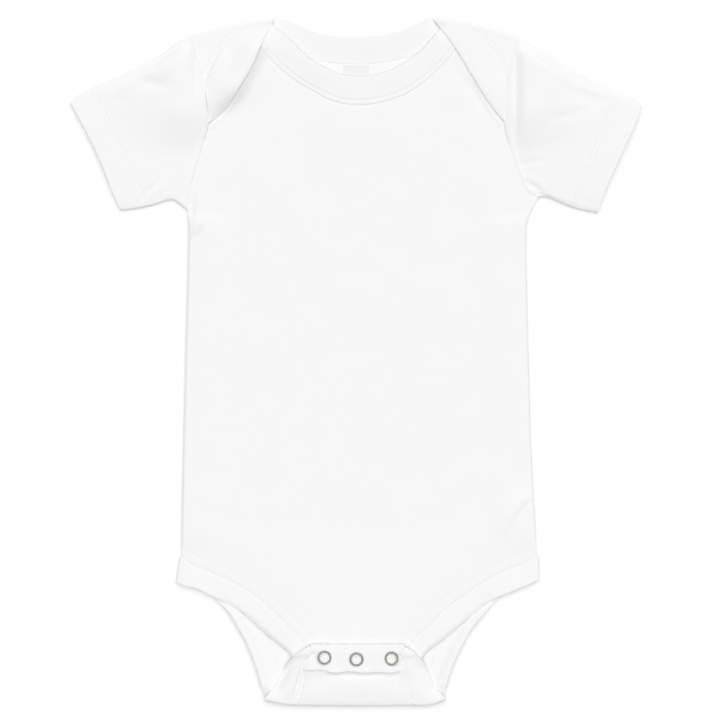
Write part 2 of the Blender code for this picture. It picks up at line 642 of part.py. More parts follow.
def snap_placket(finish):
    """The strip on the tongue's end, turned down over its edge."""
    edges = []
    for side, inside in (("left", PLACKET_INSET), ("right", -PLACKET_INSET)):
        edge = curve(TONGUE_SEAM[side], CUT_SPANS) + [tongue_corner(side)]
        edge = cut([p + Vector((inside, 0.0)) for p in edge], lambda p: p.y > PLACKET_LOW)
        edges.append(curve(edge, PLACKET_ROWS))
    rows = lifted(crossing(*edges, PLACKET_COLUMNS), placket_level)
    reach = CLOTH + SEAM
    turn = PLACKET_LIP_ROUND
    over = [p + Vector((0.0, reach * turn, -reach * (1.0 - turn))) for p in rows[-1]]
    lip = [p + Vector((0.0, reach, -PLACKET_LIP)) for p in rows[-1]]
    rows += [over, lip]
    return sheet("snap_placket", [rows], CLOTH, finish)


def neck_label(finish):
    width, length = LABEL_SIZE
    level = LABEL_UNDER + CLOTH / 2.0
    shares = [i / LABEL_ROWS for i in range(LABEL_ROWS + 1)]
    rows = [[Vector((width * (u - 0.5), LABEL_TOP - length * v, level)) for u in shares] for v in shares]
    return sheet("neck_label", [rows], CLOTH, finish)


def ring_profile(hole, radius, low, height):
    """A flat ring with its upper edges rounded."""
    round_off = height * RING_ROUND
    high = low + height
    return ((hole, low), (radius, low), (radius, high - round_off), (radius - round_off, high),
            (hole + round_off, high), (hole, high - round_off))


def snaps(finish):
    """Fastened snaps: a ring on the strip, a socket under the tongue, a stud on the front and its ring."""
    front = FRONT_UNDER_BANDS + CROTCH_RISE
    stud_low = front + CLOTH + SEAM
    socket_low = stud_low + DISC_HEIGHT + SEAM
    cap_low = TONGUE_UNDER_SNAPS + 2.0 * (CLOTH + SEAM)
    stud = ((0.0, stud_low), (SNAP_RADIUS, stud_low), (SNAP_RADIUS, stud_low + DISC_HEIGHT),
            (POST_RADIUS, stud_low + DISC_HEIGHT), (POST_RADIUS, stud_low + DISC_HEIGHT + POST_HEIGHT),
            (0.0, stud_low + DISC_HEIGHT + POST_HEIGHT))
    for number, (x, y) in enumerate(SNAPS, 1):
        profiles = {
            "snap_cap_": ring_profile(SNAP_HOLE, SNAP_RADIUS, cap_low, CAP_HEIGHT),
            "snap_socket_": ring_profile(SOCKET_HOLE, SNAP_RADIUS, socket_low, SOCKET_HEIGHT),
            "snap_stud_": stud,
            "snap_post_ring_": ring_profile(SNAP_HOLE, SNAP_RADIUS, CLOTH + SEAM, POST_RING_HEIGHT),
        }
        for name, profile in profiles.items():
            turned(name + str(number), profile, (x, y, 0.0), finish)


def place_on_floor():
    """Sets the origin at the bottom centre of the whole garment, and presses its underside flat."""
    scene = bpy.context.scene
    graph = bpy.context.evaluated_depsgraph_get()
    for item in list(scene.objects):
        mesh = bpy.data.meshes.new_from_object(item.evaluated_get(graph), depsgraph=graph)
        for vertex in mesh.vertices:
            if vertex.co.z < PRESS * MM:
                vertex.co.z = 0.0
        item.modifiers.clear()
        item.data = mesh
    points = [vertex.co for item in scene.objects for vertex in item.data.vertices]
    for axis in (0, 1):
        values = [point[axis] for point in points]
        middle = (min(values) + max(values)) / 2.0
        for item in scene.objects:
            for vertex in item.data.vertices:
                vertex.co[axis] -= middle


def main():
    for item in list(bpy.data.objects):
        bpy.data.objects.remove(item)
    jersey, rib, satin, metal = [material(name, *values) for name, values in FINISHES.items()]
    back_panel(jersey)
    front_panel(jersey)
    neckband_front(rib)
    neckband_back(rib)
    for side in SIDE:
        sleeve(side, jersey)
        leg_band(side, rib)
    snap_placket(rib)
    neck_label(satin)
    snaps(metal)
    place_on_floor()


main()
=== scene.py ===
# Looks of a white baby bodysuit with lap shoulders and a snapped crotch, laid flat with its front up
import math

import bmesh
import bpy
from mathutils import Matrix, Vector, kdtree, noise
from mathutils.bvhtree import BVHTree


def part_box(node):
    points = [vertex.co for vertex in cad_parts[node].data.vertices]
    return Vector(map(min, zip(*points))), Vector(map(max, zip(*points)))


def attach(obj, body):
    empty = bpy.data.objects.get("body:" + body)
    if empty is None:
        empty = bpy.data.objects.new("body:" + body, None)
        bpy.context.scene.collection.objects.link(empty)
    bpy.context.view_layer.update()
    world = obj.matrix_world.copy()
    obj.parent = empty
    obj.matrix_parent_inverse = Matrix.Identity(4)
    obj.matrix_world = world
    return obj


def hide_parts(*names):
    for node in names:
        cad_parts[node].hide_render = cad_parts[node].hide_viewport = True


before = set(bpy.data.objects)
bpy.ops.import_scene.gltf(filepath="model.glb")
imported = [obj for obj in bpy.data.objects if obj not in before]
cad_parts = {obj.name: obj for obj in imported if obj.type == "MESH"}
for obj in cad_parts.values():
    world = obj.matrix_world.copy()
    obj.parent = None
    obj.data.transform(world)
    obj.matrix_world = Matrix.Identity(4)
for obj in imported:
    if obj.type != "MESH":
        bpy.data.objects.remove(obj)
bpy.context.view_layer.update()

# Everything below is in millimetres: x from the centre line, y up from the crotch fold, z up from the floor.
# Left and right are the viewer's. A layer's "under" is the height of its lower face.
mm = 0.001


def sides(left, right):
    return {"left": left, "right": right}


outSign = sides(-1, 1)

cloth = {"jersey": 1, "rib": 1.2, "seam": 0.02, "roundOff": 0.45, "roundAngle": 50, "bendRows": 7}
halfJersey = cloth["jersey"] / 2
halfRib = cloth["rib"] / 2

levels = {
    "frontUnder": 1.3, "frontUnderOnRibs": 1.5, "onLegRibs": (112, 97), "onNeckRibs": (375, 390),
    "neckRise": 0.9, "neckRiseBelowLabel": 8, "neckRiseFrom": (46, 18), "crotchRise": 1.3,
    "crotchRiseFrom": (105, 40), "lapUnder": 2.85,
    # the cloth stands up along the laps' edges: heights and how far they reach
    "banks": sides(((2.2, 7), (3, 24)), ((0.7, 5),)),
    "bankFrom": (361, 380), "bankTo": (416, 400),
    "foldSquash": 0.67, "tongueUnderFold": 3.3, "tongueUnderMiddle": 4.8, "tongueUnderSnaps": 5.4,
    "tongueStart": (1, 10), "tongueClimb": (16, 23.5), "tongueDroop": 1.2, "tongueDroopFrom": (27, 38),
    "tongueEndDrop": 0.5, "tongueEndFrom": (33, 37),
}

# Outlines: sides of the body from the hip up, armholes from the underarm up
side = sides(
    ((-107, 93.8), (-106.2, 140), (-104.4, 214), (-103.2, 260), (-102.6, 292), (-103, 303.8)),
    ((110.9, 93.8), (108.6, 136), (107, 166), (106.5, 190), (105, 244), (104.4, 284), (105.4, 299),
     (111.8, 312.2)),
)
armhole = sides(
    ((-103, 303.8), (-101, 319.8), (-95.6, 338.4), (-90.8, 356), (-91.2, 372), (-95, 390), (-101.3, 409)),
    ((111.8, 312.2), (104.5, 316.4), (97.4, 333.5), (91.5, 354), (90.9, 370), (93.6, 390.4), (98.3, 409)),
)
# Shoulder folds, from the armhole in to the seam of the neck rib and on to the rib's free edge
shoulder = sides(
    ((-101.3, 409), (-88.3, 413), (-66.8, 417.3)),
    ((98.3, 409), (84, 413.3), (66.8, 417.6)),
)
shoulderRibEnd = sides((-50.6, 420.3), (47.9, 420.5))
# Laps, from the armhole up to the shoulder fold
lapFree = sides(
    ((-89.6, 357.3), (-83.4, 362), (-78, 367.6), (-69.9, 380.2), (-63.2, 392.1), (-58.6, 403.1),
     (-54.9, 412), (-50.6, 420.3)),
    ((90.2, 358.3), (84.6, 364.9), (78.7, 373.7), (69.9, 388.5), (61.1, 403.2), (51.7, 415.9),
     (47.9, 420.5)),
)
lapSeam = sides(
    ((-92.6, 380.6), (-88.3, 391.2), (-82.4, 401.2), (-74.2, 410.6), (-66.8, 417.3)),
    ((91.6, 384), (87.6, 396.3), (80.7, 405.8), (74.2, 412.6), (66.8, 417.6)),
)
# Necklines, from left to right
backNeckFree = ((-50.6, 420.3), (-48.6, 421.9), (-42.9, 420.6), (-35.6, 417.7), (-28.2, 414.3),
    (-20.8, 412.3), (-13.5, 410.7), (-4, 409.9), (4, 410.1), (15.9, 411.5), (23.3, 413), (30.7, 415.5),
    (38, 418.9), (44, 422), (46.6, 422.1), (47.9, 420.5))
backNeckSeam = ((-66.8, 417.3), (-57.6, 410.6), (-46.6, 404.3), (-30.7, 398.3), (-19.3, 395.6), (-8, 394.1),
    (8, 394.1), (19.6, 395.6), (34.5, 399.1), (48.4, 405.3), (58, 411.2), (66.8, 417.6))
frontNeckFree = ((-53.2, 418.8), (-50.6, 416.9), (-46.8, 414.3), (-37.6, 405.4), (-30.7, 398.5),
    (-21.6, 392.2), (-10.1, 387.2), (3.6, 385.7), (17.4, 388.2), (28.8, 393.4), (40.2, 401.9),
    (48.3, 411.1), (51.7, 415.4), (54.2, 418.4))
frontNeckSeam = ((-67, 416.2), (-57.6, 402.5), (-49, 392.8), (-37.6, 383.6), (-26.2, 376.7), (-14.7, 371),
    (-3.2, 368.3), (8.2, 368.6), (19.6, 371), (31.1, 375.4), (42.5, 383.1), (54, 393.9), (61.1, 402.9),
    (68.5, 416.4))
# Leg openings, from the hip down
frontLegFree = sides(
    ((-108.9, 75.6), (-105, 73.7), (-100.2, 72.9), (-95.6, 71.3), (-90.1, 68.4), (-75.2, 61.2),
     (-66.4, 55.1), (-56.3, 45.7), (-46.1, 37.6), (-39.6, 31.4), (-36, 22.5)),
    ((110.8, 76.9), (105.8, 74.5), (98.2, 71.5), (86.5, 66.4), (80.4, 63.3), (70.9, 55.8), (62.8, 49),
     (53.4, 41), (42.6, 32.8), (37, 22.5)),
)
frontLegSeam = sides(
    ((-107, 90.3), (-98.8, 85.8), (-86.7, 80.9), (-73.1, 74.6), (-61, 66.6), (-49.5, 56.5), (-38.8, 45.9),
     (-31, 36.5), (-24.5, 22.5)),
    ((111, 91.2), (102.7, 87.2), (93.9, 83.9), (81.8, 78.1), (68.2, 69), (55.4, 59.6), (47.3, 51.7),
     (36.5, 41.5), (30, 32), (25.5, 22.5)),
)
backLegFree = sides(
    ((-108.9, 75.6), (-105, 73.7), (-100.2, 72.9), (-95.6, 71.3), (-91.4, 69), (-86.8, 65.5), (-81.9, 61.2),
     (-76.9, 56.3), (-72.4, 48.3), (-67.6, 40.3), (-62.7, 28.6), (-59.1, 17.3), (-55.8, 5)),
    ((110.8, 76.9), (105.8, 74.5), (98.2, 71.5), (93.5, 69.2), (88.6, 66.2), (83.7, 62.4), (78.8, 57),
     (73.9, 51.5), (69, 44.6), (64.1, 35.5), (59.4, 25.4), (56, 15.2), (54.3, 5.3)),
)
backLegSeam = sides(
    ((-107, 90.3), (-94, 84.5), (-77.8, 76), (-68.5, 66), (-62, 57), (-55.6, 46.5), (-51, 35),
     (-47.5, 23.5), (-44, 12), (-39.5, 1.8)),
    ((111, 91.2), (102, 86.5), (92, 82.3), (82, 77), (73, 69), (65.4, 60.4), (59.5, 51.5), (53.8, 41.8),
     (48.7, 31.4), (43.5, 18.5), (35, 1.8)),
)
# Sides of the tongue, from the crotch fold up
tongueFree = sides(
    ((-55.8, 5), (-52.6, 8.6), (-49, 13.5), (-45.4, 19.9), (-42.6, 25.4), (-38.3, 29.9), (-34.9, 32.9),
     (-30.6, 35.7), (-25.5, 38.1)),
    ((54.3, 5.3), (51.6, 8), (48.1, 12), (45.7, 17.5), (42.8, 23.8), (39.5, 29.3), (35.6, 33.2),
     (31.6, 35.6), (27.6, 37.6)),
)
tongueSeam = sides(
    ((-39.5, 1.8), (-37.5, 9), (-35.5, 17), (-34.2, 23.6), (-31.8, 28.4), (-26.9, 32)),
    ((35, 1.8), (32, 10), (30.2, 18), (29.8, 25), (27.2, 31.5)),
)
tongueEnd = 37
crotchFoldMiddle = (0, 1.5)
crotchSag = sides(0.2, 1.5)
# Sleeves, from the armhole out to the cuff, and cuffs from the top down
sleeveTop = sides(
    ((-101.9, 408.8), (-107.1, 406.4), (-117.2, 399.4), (-122.9, 395.7), (-129.2, 392.6), (-141.4, 387.1),
     (-153.7, 381.8), (-163, 377.6), (-168.5, 374.8), (-172.8, 371.4), (-174.6, 368.6)),
    ((98.9, 408.8), (108.2, 403.3), (126.8, 392.3), (133.5, 388.3), (138.6, 385.3), (153.3, 378.4),
     (163, 374.5), (169.5, 371.9), (174.9, 367.8)),
)
sleeveUnder = sides(
    ((-105.5, 308), (-109, 309.8), (-113.8, 311.6), (-126.5, 308), (-139.3, 305.6), (-144.9, 305.2)),
    ((112.9, 313.4), (117, 313.4), (126.8, 309.5), (136.6, 306), (148.5, 303.6)),
)
cuffBetween = sides(
    ((-170.1, 360.4), (-165.6, 352.6), (-160.4, 342), (-155.6, 331), (-151.3, 320), (-147.6, 311)),
    ((171.2, 356.8), (164.4, 342.4), (158.8, 330), (154.2, 319.7), (151, 311.5)),
)

# Spans of the grids: what the solids have, times how much finer the cloth is here
spans = {
    "side": 14 * 10, "armhole": 9 * 9, "shoulder": 6 * 5, "neck": 18 * 5, "leg": 12 * 5, "crotch": 6 * 5,
    "backSide": 14 * 4, "backArmhole": 9 * 4, "tongue": 8 * 6, "lap": 8 * 5,
    "ribNeck": 18 * 9, "ribLap": 8 * 9, "ribLeg": 12 * 9, "ribTongue": 8 * 7,
    "sleeveLong": 12 * 7, "sleeveAround": 9 * 9,
}

label = {
    "width": 15.3, "length": 20, "top": 393.4, "thickness": 0.3, "under": 1.02, "puff": 0.25, "roundOff": 0.1,
    "rows": 20, "columns": 16,
}
labelLow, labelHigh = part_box("neck_label")
shift = Vector(((labelLow.x + labelHigh.x) / 2, labelHigh.y - label["top"] * mm, 0))


# Curves and rows of points

def smoothstep(amount):
    amount = min(max(amount, 0), 1)
    return amount * amount * (3 - 2 * amount)


def ramp(value, start, full):
    return smoothstep((value - start) / (full - start))


def sideOf(x):
    return "left" if x < 0 else "right"


def hump(distance, halfWidth):
    return math.exp(-(distance / halfWidth) ** 2)


def arch(share):  # up and down again from 0 to 1
    return math.sin(math.pi * share)


def splinePoint(before, start, end, after, t):
    return 0.5 * (2 * start + (end - before) * t + (2 * before - 5 * start + 4 * end - after) * t ** 2
                  + (3 * start - before - 3 * end + after) * t ** 3)


def runLengths(points):
    total = [0]
    for a, b in zip(points, points[1:]):
        total.append(total[-1] + (b - a).length)
    return total


def walk(lengths, goals):  # for each goal, the span that it falls in and how far along that span
    j = 0
    for goal in goals:
        while j < len(lengths) - 2 and lengths[j + 1] < goal:
            j += 1
        yield j, (goal - lengths[j]) / (lengths[j + 1] - lengths[j])


def curve(keys, count):  # a smooth curve through the keys, as evenly spaced points
    keys = [Vector(key) for key in keys]
    ends = [2 * keys[0] - keys[1]] + keys + [2 * keys[-1] - keys[-2]]
    steps = 8
    fine = [splinePoint(*ends[i:i + 4], k / steps) for i in range(len(keys) - 1) for k in range(steps)]
    fine.append(keys[-1])
    lengths = runLengths(fine)
    goals = [lengths[-1] * i / count for i in range(count + 1)]
    return [fine[j].lerp(fine[j + 1], share) for j, share in walk(lengths, goals)]


def both(edges, count):  # the left and right curve
    return [curve(edges[which], count) for which in side]


def joined(first, *others):
    return list(first) + [point for run in others for point in run[1:]]


def crossing(startEdge, endEdge, count):
    return [[a.lerp(b, j / count) for j in range(count + 1)] for a, b in zip(startEdge, endEdge)]


def cut(points, keep):
    kept = [point for point in points if keep(point)]
    return kept[:-2:4] + kept[-1:]


def patch(first, last, startEdge, endEdge, shares):  # rows between two curves, held by edges at their ends
    rows = []
    across = len(first) - 1
    for a, b, v in zip(startEdge, endEdge, shares):
        row = []
        for j, (near, far) in enumerate(zip(first, last)):
            u = j / across
            corners = (first[0].lerp(first[-1], u)).lerp(last[0].lerp(last[-1], u), v)
            row.append(near.lerp(far, v) + a.lerp(b, u) - corners)
        rows.append(row)
    return rows


def heights(left, right):
    ys = [(a.y + b.y) / 2 for a, b in zip(left, right)]
    return [(y - ys[0]) / (ys[-1] - ys[0]) for y in ys]


def startingOn(first, rows):  # the rows, eased so that they start on a given row
    moves = [a - b for a, b in zip(first, rows[0])]
    last = len(rows) - 1
    return [[p + move * (1 - i / last) ** 2 for p, move in zip(row, moves)] for i, row in enumerate(rows)]


def lifted(rows, level):  # level(x, y, share of the rows, share of the columns)
    lastRow = len(rows) - 1
    lastColumn = len(rows[0]) - 1
    return [[Vector((p.x, p.y, level(p.x, p.y, i / lastRow, j / lastColumn))) for j, p in enumerate(row)]
            for i, row in enumerate(rows)]


def bend(start, end, outward, squash=1):  # half-round rows that carry a sheet round a fold
    rows = []
    count = cloth["bendRows"]
    for k in range(1, count + 1):
        angle = math.pi * k / (count + 1)
        row = []
        for a, b in zip(start, end):
            middle = (a + b) / 2
            out = outward * ((b - a).length / 2 * squash)
            row.append(middle + (a - middle) * math.cos(angle) + out * math.sin(angle))
        rows.append(row)
    return rows


def outwardOf(start, end):
    along = (Vector(end).xy - Vector(start).xy).normalized()
    return Vector((-along.y, along.x, 0))


def edgeOutward(edge, i, inside):
    out = outwardOf(edge[max(i - 1, 0)], edge[min(i + 1, len(edge) - 1)])
    return out if out.xy.dot((edge[i] - inside).xy) > 0 else -out


def beside(edge, distance, awayFrom):  # a run of points beside an edge, on the far side from another run
    return [p.xy + edgeOutward(edge, i, awayFrom[i]).xy * distance for i, p in enumerate(edge)]


def strip(free, seam, count, columns, level, first=None):  # rows across a rib, from its free edge to its seam
    rows = []
    seam = curve(seam, count)
    for i, (a, b) in enumerate(zip(curve(free, count), seam)):
        b = b - edgeOutward(seam, i, a).xy * cloth["seam"]
        rows.append([a.lerp(b, j / columns) for j in range(columns + 1)])
    return lifted(startingOn(first, rows) if first else rows, level)


def creaseRise(creases, x, y):  # what the listed creases add at a point; a trough is negative
    total = 0
    for x0, y0, x1, y1, bow, halfWidth, rise, *gentle in creases:
        dx = x1 - x0
        dy = y1 - y0
        length = math.hypot(dx, dy)
        share = ((x - x0) * dx + (y - y0) * dy) / length ** 2
        held = min(max(share, 0), 1)
        beyond = (share - held) * length
        off = ((y - y0) * dx - (x - x0) * dy) / length - bow * 4 * held * (1 - held)
        if gentle and off < 0:
            off *= halfWidth / gentle[0]
        distance = math.hypot(off, beyond)
        if distance < 3 * halfWidth:
            total += rise * hump(distance, halfWidth) * (0.3 + 0.7 * arch(held))
    return total


def unevenness(x, y, size, amount, layer=0):  # every "uneven" below is a noise's size, amount and layer
    return amount * noise.noise(Vector((x / size, y / size, layer)))


# Materials

def mathNode(tree, operation, first, second=0.5):
    node = tree.nodes.new("ShaderNodeMath")
    node.operation = operation
    for socket, value in zip(node.inputs, (first, second)):
        if isinstance(value, (int, float)):
            socket.default_value = value
        else:
            tree.links.new(value, socket)
    return node.outputs[0]


def addNode(tree, kind, **inputs):  # a node whose inputs are set, or fed by other nodes
    return feed(tree, tree.nodes.new("ShaderNode" + kind), **inputs)


def feed(tree, node, **inputs):
    for name, value in inputs.items():
        if isinstance(value, bpy.types.NodeSocket):
            tree.links.new(value, node.inputs[name])
        else:
            node.inputs[name].default_value = value
    return node


def newMaterial(name, look):
    made = bpy.data.materials.new(name)
    made.use_nodes = True
    tree = made.node_tree
    shader = tree.nodes["Principled BSDF"]
    for socket, value in look["shader"].items():
        shader.inputs[socket].default_value = value
    return made, tree, shader


def tintedMaterial(name, look):  # its colour is uneven, mixed between two colours by noise; on the snap metal this mix is painted reflection
    made, tree, shader = newMaterial(name, look)
    place = addNode(tree, "TexCoord").outputs
    mottle = addNode(tree, "TexNoise", Scale=look["mottleScale"], Detail=3, Vector=place["Object"])
    mix = tree.nodes.new("ShaderNodeMix")
    mix.data_type = "RGBA"
    feed(tree, mix, A=(*look["colour"], 1), B=(*look["colourDeep"], 1), Factor=mottle.outputs["Fac"])
    tree.links.new(mix.outputs["Result"], shader.inputs["Base Color"])
    return made, tree, shader, place, mottle


def bumped(tree, height, strength, distance, below=None):
    node = addNode(tree, "Bump", Strength=strength, Distance=distance, Height=height)
    if below:
        feed(tree, node, Normal=below)
    return node.outputs["Normal"]


def ridged(tree, along, pitch, strength, depth, below=None):  # even ridges along the cloth
    turn = mathNode(tree, "MULTIPLY", along, 2 * math.pi / pitch)
    return bumped(tree, mathNode(tree, "COSINE", turn), strength, depth, below)


jerseyLook = {
    "colour": (0.897, 0.897, 0.897), "colourDeep": (0.885, 0.885, 0.885), "mottleScale": 45,
    "wale": 0.0009, "course": 0.0007, "slant": 1.6, "ribPitch": 0,
    "knitDepth": 0.00012, "knitStrength": 0.3,
    "fuzzScale": 2600, "fuzzStrength": 0.12,
    "shader": {"Roughness": 0.9, "Specular IOR Level": 0.25, "Sheen Weight": 0.12, "Sheen Roughness": 0.6},
}
# The rib's colour is a touch darker than the jersey's. This is painted shade that takes back the extra light
# making the ribs look brighter than the body; the two cloths are the same white.
ribLook = {
    **jerseyLook, "colour": (0.895, 0.895, 0.895), "colourDeep": (0.883, 0.883, 0.883),
    "ribPitch": 0.0018, "ribDepth": 0.0002, "ribStrength": 0.05,
}


def knitMaterial(name, look):
    made, tree, shader, place, mottle = tintedMaterial(name, look)
    split = addNode(tree, "SeparateXYZ", Vector=place["UV"]).outputs

    def do(operation, first, second=0.5):
        return mathNode(tree, operation, first, second)

    wales = do("DIVIDE", split["X"], look["wale"])
    courses = do("DIVIDE", split["Y"], look["course"])
    across = do("ABSOLUTE", do("SUBTRACT", do("FRACT", wales), 0.5))
    offLeg = do("ABSOLUTE", do("SUBTRACT", across, 0.25))
    leg = do("SUBTRACT", 1, do("MULTIPLY", offLeg, 4))
    slanted = do("ADD", courses, do("MULTIPLY", across, look["slant"]))
    offStitch = do("ABSOLUTE", do("SUBTRACT", do("FRACT", slanted), 0.5))
    stitch = do("SUBTRACT", 1, do("MULTIPLY", offStitch, 1.6))
    knit = do("MULTIPLY", leg, stitch)
    fuzz = addNode(tree, "TexNoise", Scale=look["fuzzScale"], Detail=2, Vector=place["Object"])
    normal = bumped(tree, fuzz.outputs["Fac"], look["fuzzStrength"], look["knitDepth"])
    if look["ribPitch"]:
        normal = ridged(tree, split["X"], look["ribPitch"], look["ribStrength"], look["ribDepth"], normal)
    feed(tree, shader, Normal=bumped(tree, knit, look["knitStrength"], look["knitDepth"], normal))
    return made


satinLook = {
    "colour": (0.83, 0.83, 0.835), "colourDeep": (0.8, 0.8, 0.81), "mottleScale": 300,
    "threadPitch": 0.00035, "threadDepth": 0.00005, "threadStrength": 0.3,
    "shader": {"Roughness": 0.42, "Specular IOR Level": 0.45, "Sheen Weight": 0.1},
}


def satinMaterial(name, look):
    made, tree, shader, place, mottle = tintedMaterial(name, look)
    along = addNode(tree, "SeparateXYZ", Vector=place["UV"]).outputs["X"]
    normal = ridged(tree, along, look["threadPitch"], look["threadStrength"], look["threadDepth"])
    feed(tree, shader, Normal=normal)
    return made


threadLook = {
    "colour": (0.9, 0.9, 0.9), "colourDeep": (0.86, 0.86, 0.86), "mottleScale": 400,
    "plyScale": 2500, "plyStrength": 0.4, "plyDepth": 0.0001,
    "shader": {"Roughness": 0.55, "Specular IOR Level": 0.4, "Sheen Weight": 0.1},
}


def threadMaterial(name, look):
    made, tree, shader, place, mottle = tintedMaterial(name, look)
    plies = addNode(tree, "TexWave", Scale=look["plyScale"], Vector=place["Object"])
    plies.bands_direction = "DIAGONAL"
    feed(tree, shader, Normal=bumped(tree, plies.outputs["Fac"], look["plyStrength"], look["plyDepth"]))
    return made


# The mottle that darkens the metal nearly to black in patches is painted reflection: dark and bright patches
# stand in for surroundings that the plain white world doesn't reflect. The brownish tone is the metal's own.
metalLook = {
    "colour": (0.5, 0.475, 0.45), "colourDeep": (0.06, 0.052, 0.045), "mottleScale": 250,
    "brushScale": 1500, "brushStrength": 0.15, "brushDepth": 0.00005,
    "roughFrom": 0.18, "roughRange": 0.16, "shader": {"Metallic": 1},
}


def metalMaterial(name, look):
    made, tree, shader, place, mottle = tintedMaterial(name, look)
    rough = mathNode(tree, "MULTIPLY", mottle.outputs["Fac"], look["roughRange"])
    brush = addNode(tree, "TexNoise", Scale=look["brushScale"], Vector=place["Object"]).outputs["Fac"]
    feed(tree, shader, Roughness=mathNode(tree, "ADD", rough, look["roughFrom"]),
         Normal=bumped(tree, brush, look["brushStrength"], look["brushDepth"]))
    return made


whiteJersey = knitMaterial("whiteJersey", jerseyLook)
whiteRib = knitMaterial("whiteRib", ribLook)
labelSatin = satinMaterial("labelSatin", satinLook)
whiteThread = threadMaterial("whiteThread", threadLook)
snapMetal = metalMaterial("snapMetal", metalLook)
print("materials made")


# Making pieces

def linked(name, data):
    made = bpy.data.objects.new(name, data)
    bpy.context.scene.collection.objects.link(made)
    return made


def addPiece(name, bm, finish, slot):
    bmesh.ops.scale(bm, vec=(mm, mm, mm), verts=bm.verts)
    bmesh.ops.translate(bm, vec=shift, verts=bm.verts)
    mesh = bpy.data.meshes.new(name)
    bm.to_mesh(mesh)
    bm.free()
    mesh.materials.append(finish)
    mesh.shade_smooth()
    piece = linked(name, mesh)
    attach(piece, "root")
    return piece


def layGrid(bm, rows, grain):  # a grid laid on rows of points, with the knit's grain in its UV map, in metres
    lastRow = len(rows) - 1
    lastColumn = len(rows[0]) - 1
    made = bmesh.ops.create_grid(bm, x_segments=lastColumn, y_segments=lastRow, size=0.5)
    uv = bm.loops.layers.uv.verify()
    along = runLengths([row[lastColumn // 2] for row in rows])
    across = runLengths(rows[lastRow // 2])
    for vert in made["verts"]:
        j = round((vert.co.x + 0.5) * lastColumn)
        i = round((vert.co.y + 0.5) * lastRow)
        vert.co = rows[i][j]
        place = {  # the wales run up the body, across the rows or along the columns
            "down": vert.co.xy,
            "columns": Vector((along[i], across[j])),
            "rows": Vector((across[j], along[i])),
        }[grain]
        for loop in vert.link_loops:
            loop[uv].uv = place * mm


def sealed(bm):
    bmesh.ops.remove_doubles(bm, verts=bm.verts, dist=0.001)
    bmesh.ops.recalc_face_normals(bm, faces=bm.faces)


jersey = (cloth["jersey"], whiteJersey, "jersey")  # wall, finish and slot
rib = (cloth["rib"], whiteRib, "rib")


def clothPiece(name, sheets, kind, grain, closed=False):
    wall, finish, slot = kind
    bm = bmesh.new()
    for rows in sheets:
        layGrid(bm, rows + rows[:1] if closed else rows, grain)
    sealed(bm)
    piece = addPiece(name, bm, finish, slot)
    thicken = piece.modifiers.new("wall", "SOLIDIFY")
    thicken.thickness = wall * mm
    thicken.offset = 0
    soften = piece.modifiers.new("edges", "BEVEL")
    soften.width = cloth["roundOff"] * mm
    soften.segments = 3
    soften.limit_method = "ANGLE"
    soften.angle_limit = math.radians(cloth["roundAngle"])
    return piece


# Heights of the layers

def treeOf(runs):
    points = [point for run in runs for point in run]
    tree = kdtree.KDTree(len(points))
    for i, point in enumerate(points):
        tree.insert((point.x, point.y, 0), i)
    tree.balance()
    return tree


def gap(tree, x, y):
    return tree.find((x, y, 0))[2]


lapLine = {which: curve(lapFree[which], 80) for which in side}
lapTree = {which: treeOf([curve(lapFree[which], 400)]) for which in side}


def bankShare(y):  # how much of a bank there is at a height up the body
    return ramp(y, *levels["bankFrom"]) * ramp(y, *levels["bankTo"])


def frontUnder(x, y):
    onRibs = max(ramp(y, *levels["onLegRibs"]), ramp(y, *levels["onNeckRibs"]))
    under = levels["frontUnder"] + (levels["frontUnderOnRibs"] - levels["frontUnder"]) * onRibs
    fromLabel = math.hypot(x, (y - label["top"] + levels["neckRiseBelowLabel"]) * 0.8)
    under += levels["neckRise"] * ramp(fromLabel, *levels["neckRiseFrom"])
    under += levels["crotchRise"] * ramp(y, *levels["crotchRiseFrom"])
    if y > levels["bankFrom"][0]:
        distance = gap(lapTree[sideOf(x)], x, y)
        for height, reach in levels["banks"][sideOf(x)]:
            under += height * bankShare(y) * max(1 - distance / reach, 0) ** 2
    return under


def tongueUnder(x, y):
    fold = levels["tongueUnderFold"]
    middle = levels["tongueUnderMiddle"]
    snap = levels["tongueUnderSnaps"]
    low, high = levels["tongueStart"]
    start = min(max((y - low) / (high - low), 0), 1)
    climb = (middle - fold) * (1 - (1 - start) ** 2)
    climb += (snap - middle) * ramp(y, *levels["tongueClimb"])
    droop = levels["tongueDroop"] * ramp(abs(x), *levels["tongueDroopFrom"])
    end = levels["tongueEndDrop"] * ramp(y, *levels["tongueEndFrom"])
    return fold + climb * (1 - droop / (snap - fold)) - end


# Side folds: the front and back meet half way down a rounded edge
sideFold = {
    "radius": 1.3, "raise": sides(1.6, 1.1), "raiseFrom": (92, 108), "raiseTo": (303.5, 295),
}


def insideFold(which, count):  # the side, half a wall in from the outline
    inward = -outSign[which] * halfJersey
    return [p + Vector((inward * ramp(p.y, *sideFold["raiseTo"]), 0)) for p in curve(side[which], count)]


sideTree = treeOf([insideFold(which, 1500) for which in side])


def foldShare(y):  # how much the side folds stand up at a height up the body
    return ramp(y, *sideFold["raiseFrom"]) * ramp(y, *sideFold["raiseTo"])


def sideRaise(x, y):
    return sideFold["raise"][sideOf(x)] * foldShare(y)


def rounded(level, x, y):  # the level, bent round towards the middle of the side fold
    share = gap(sideTree, x, y) / sideFold["radius"]
    if share >= 1:
        return level
    front = levels["frontUnder"] + halfJersey + sideRaise(x, y)
    held = (1 - math.sqrt(1 - (1 - share) ** 2)) * foldShare(y)
    return level + ((front + halfJersey) / 2 - level) * held


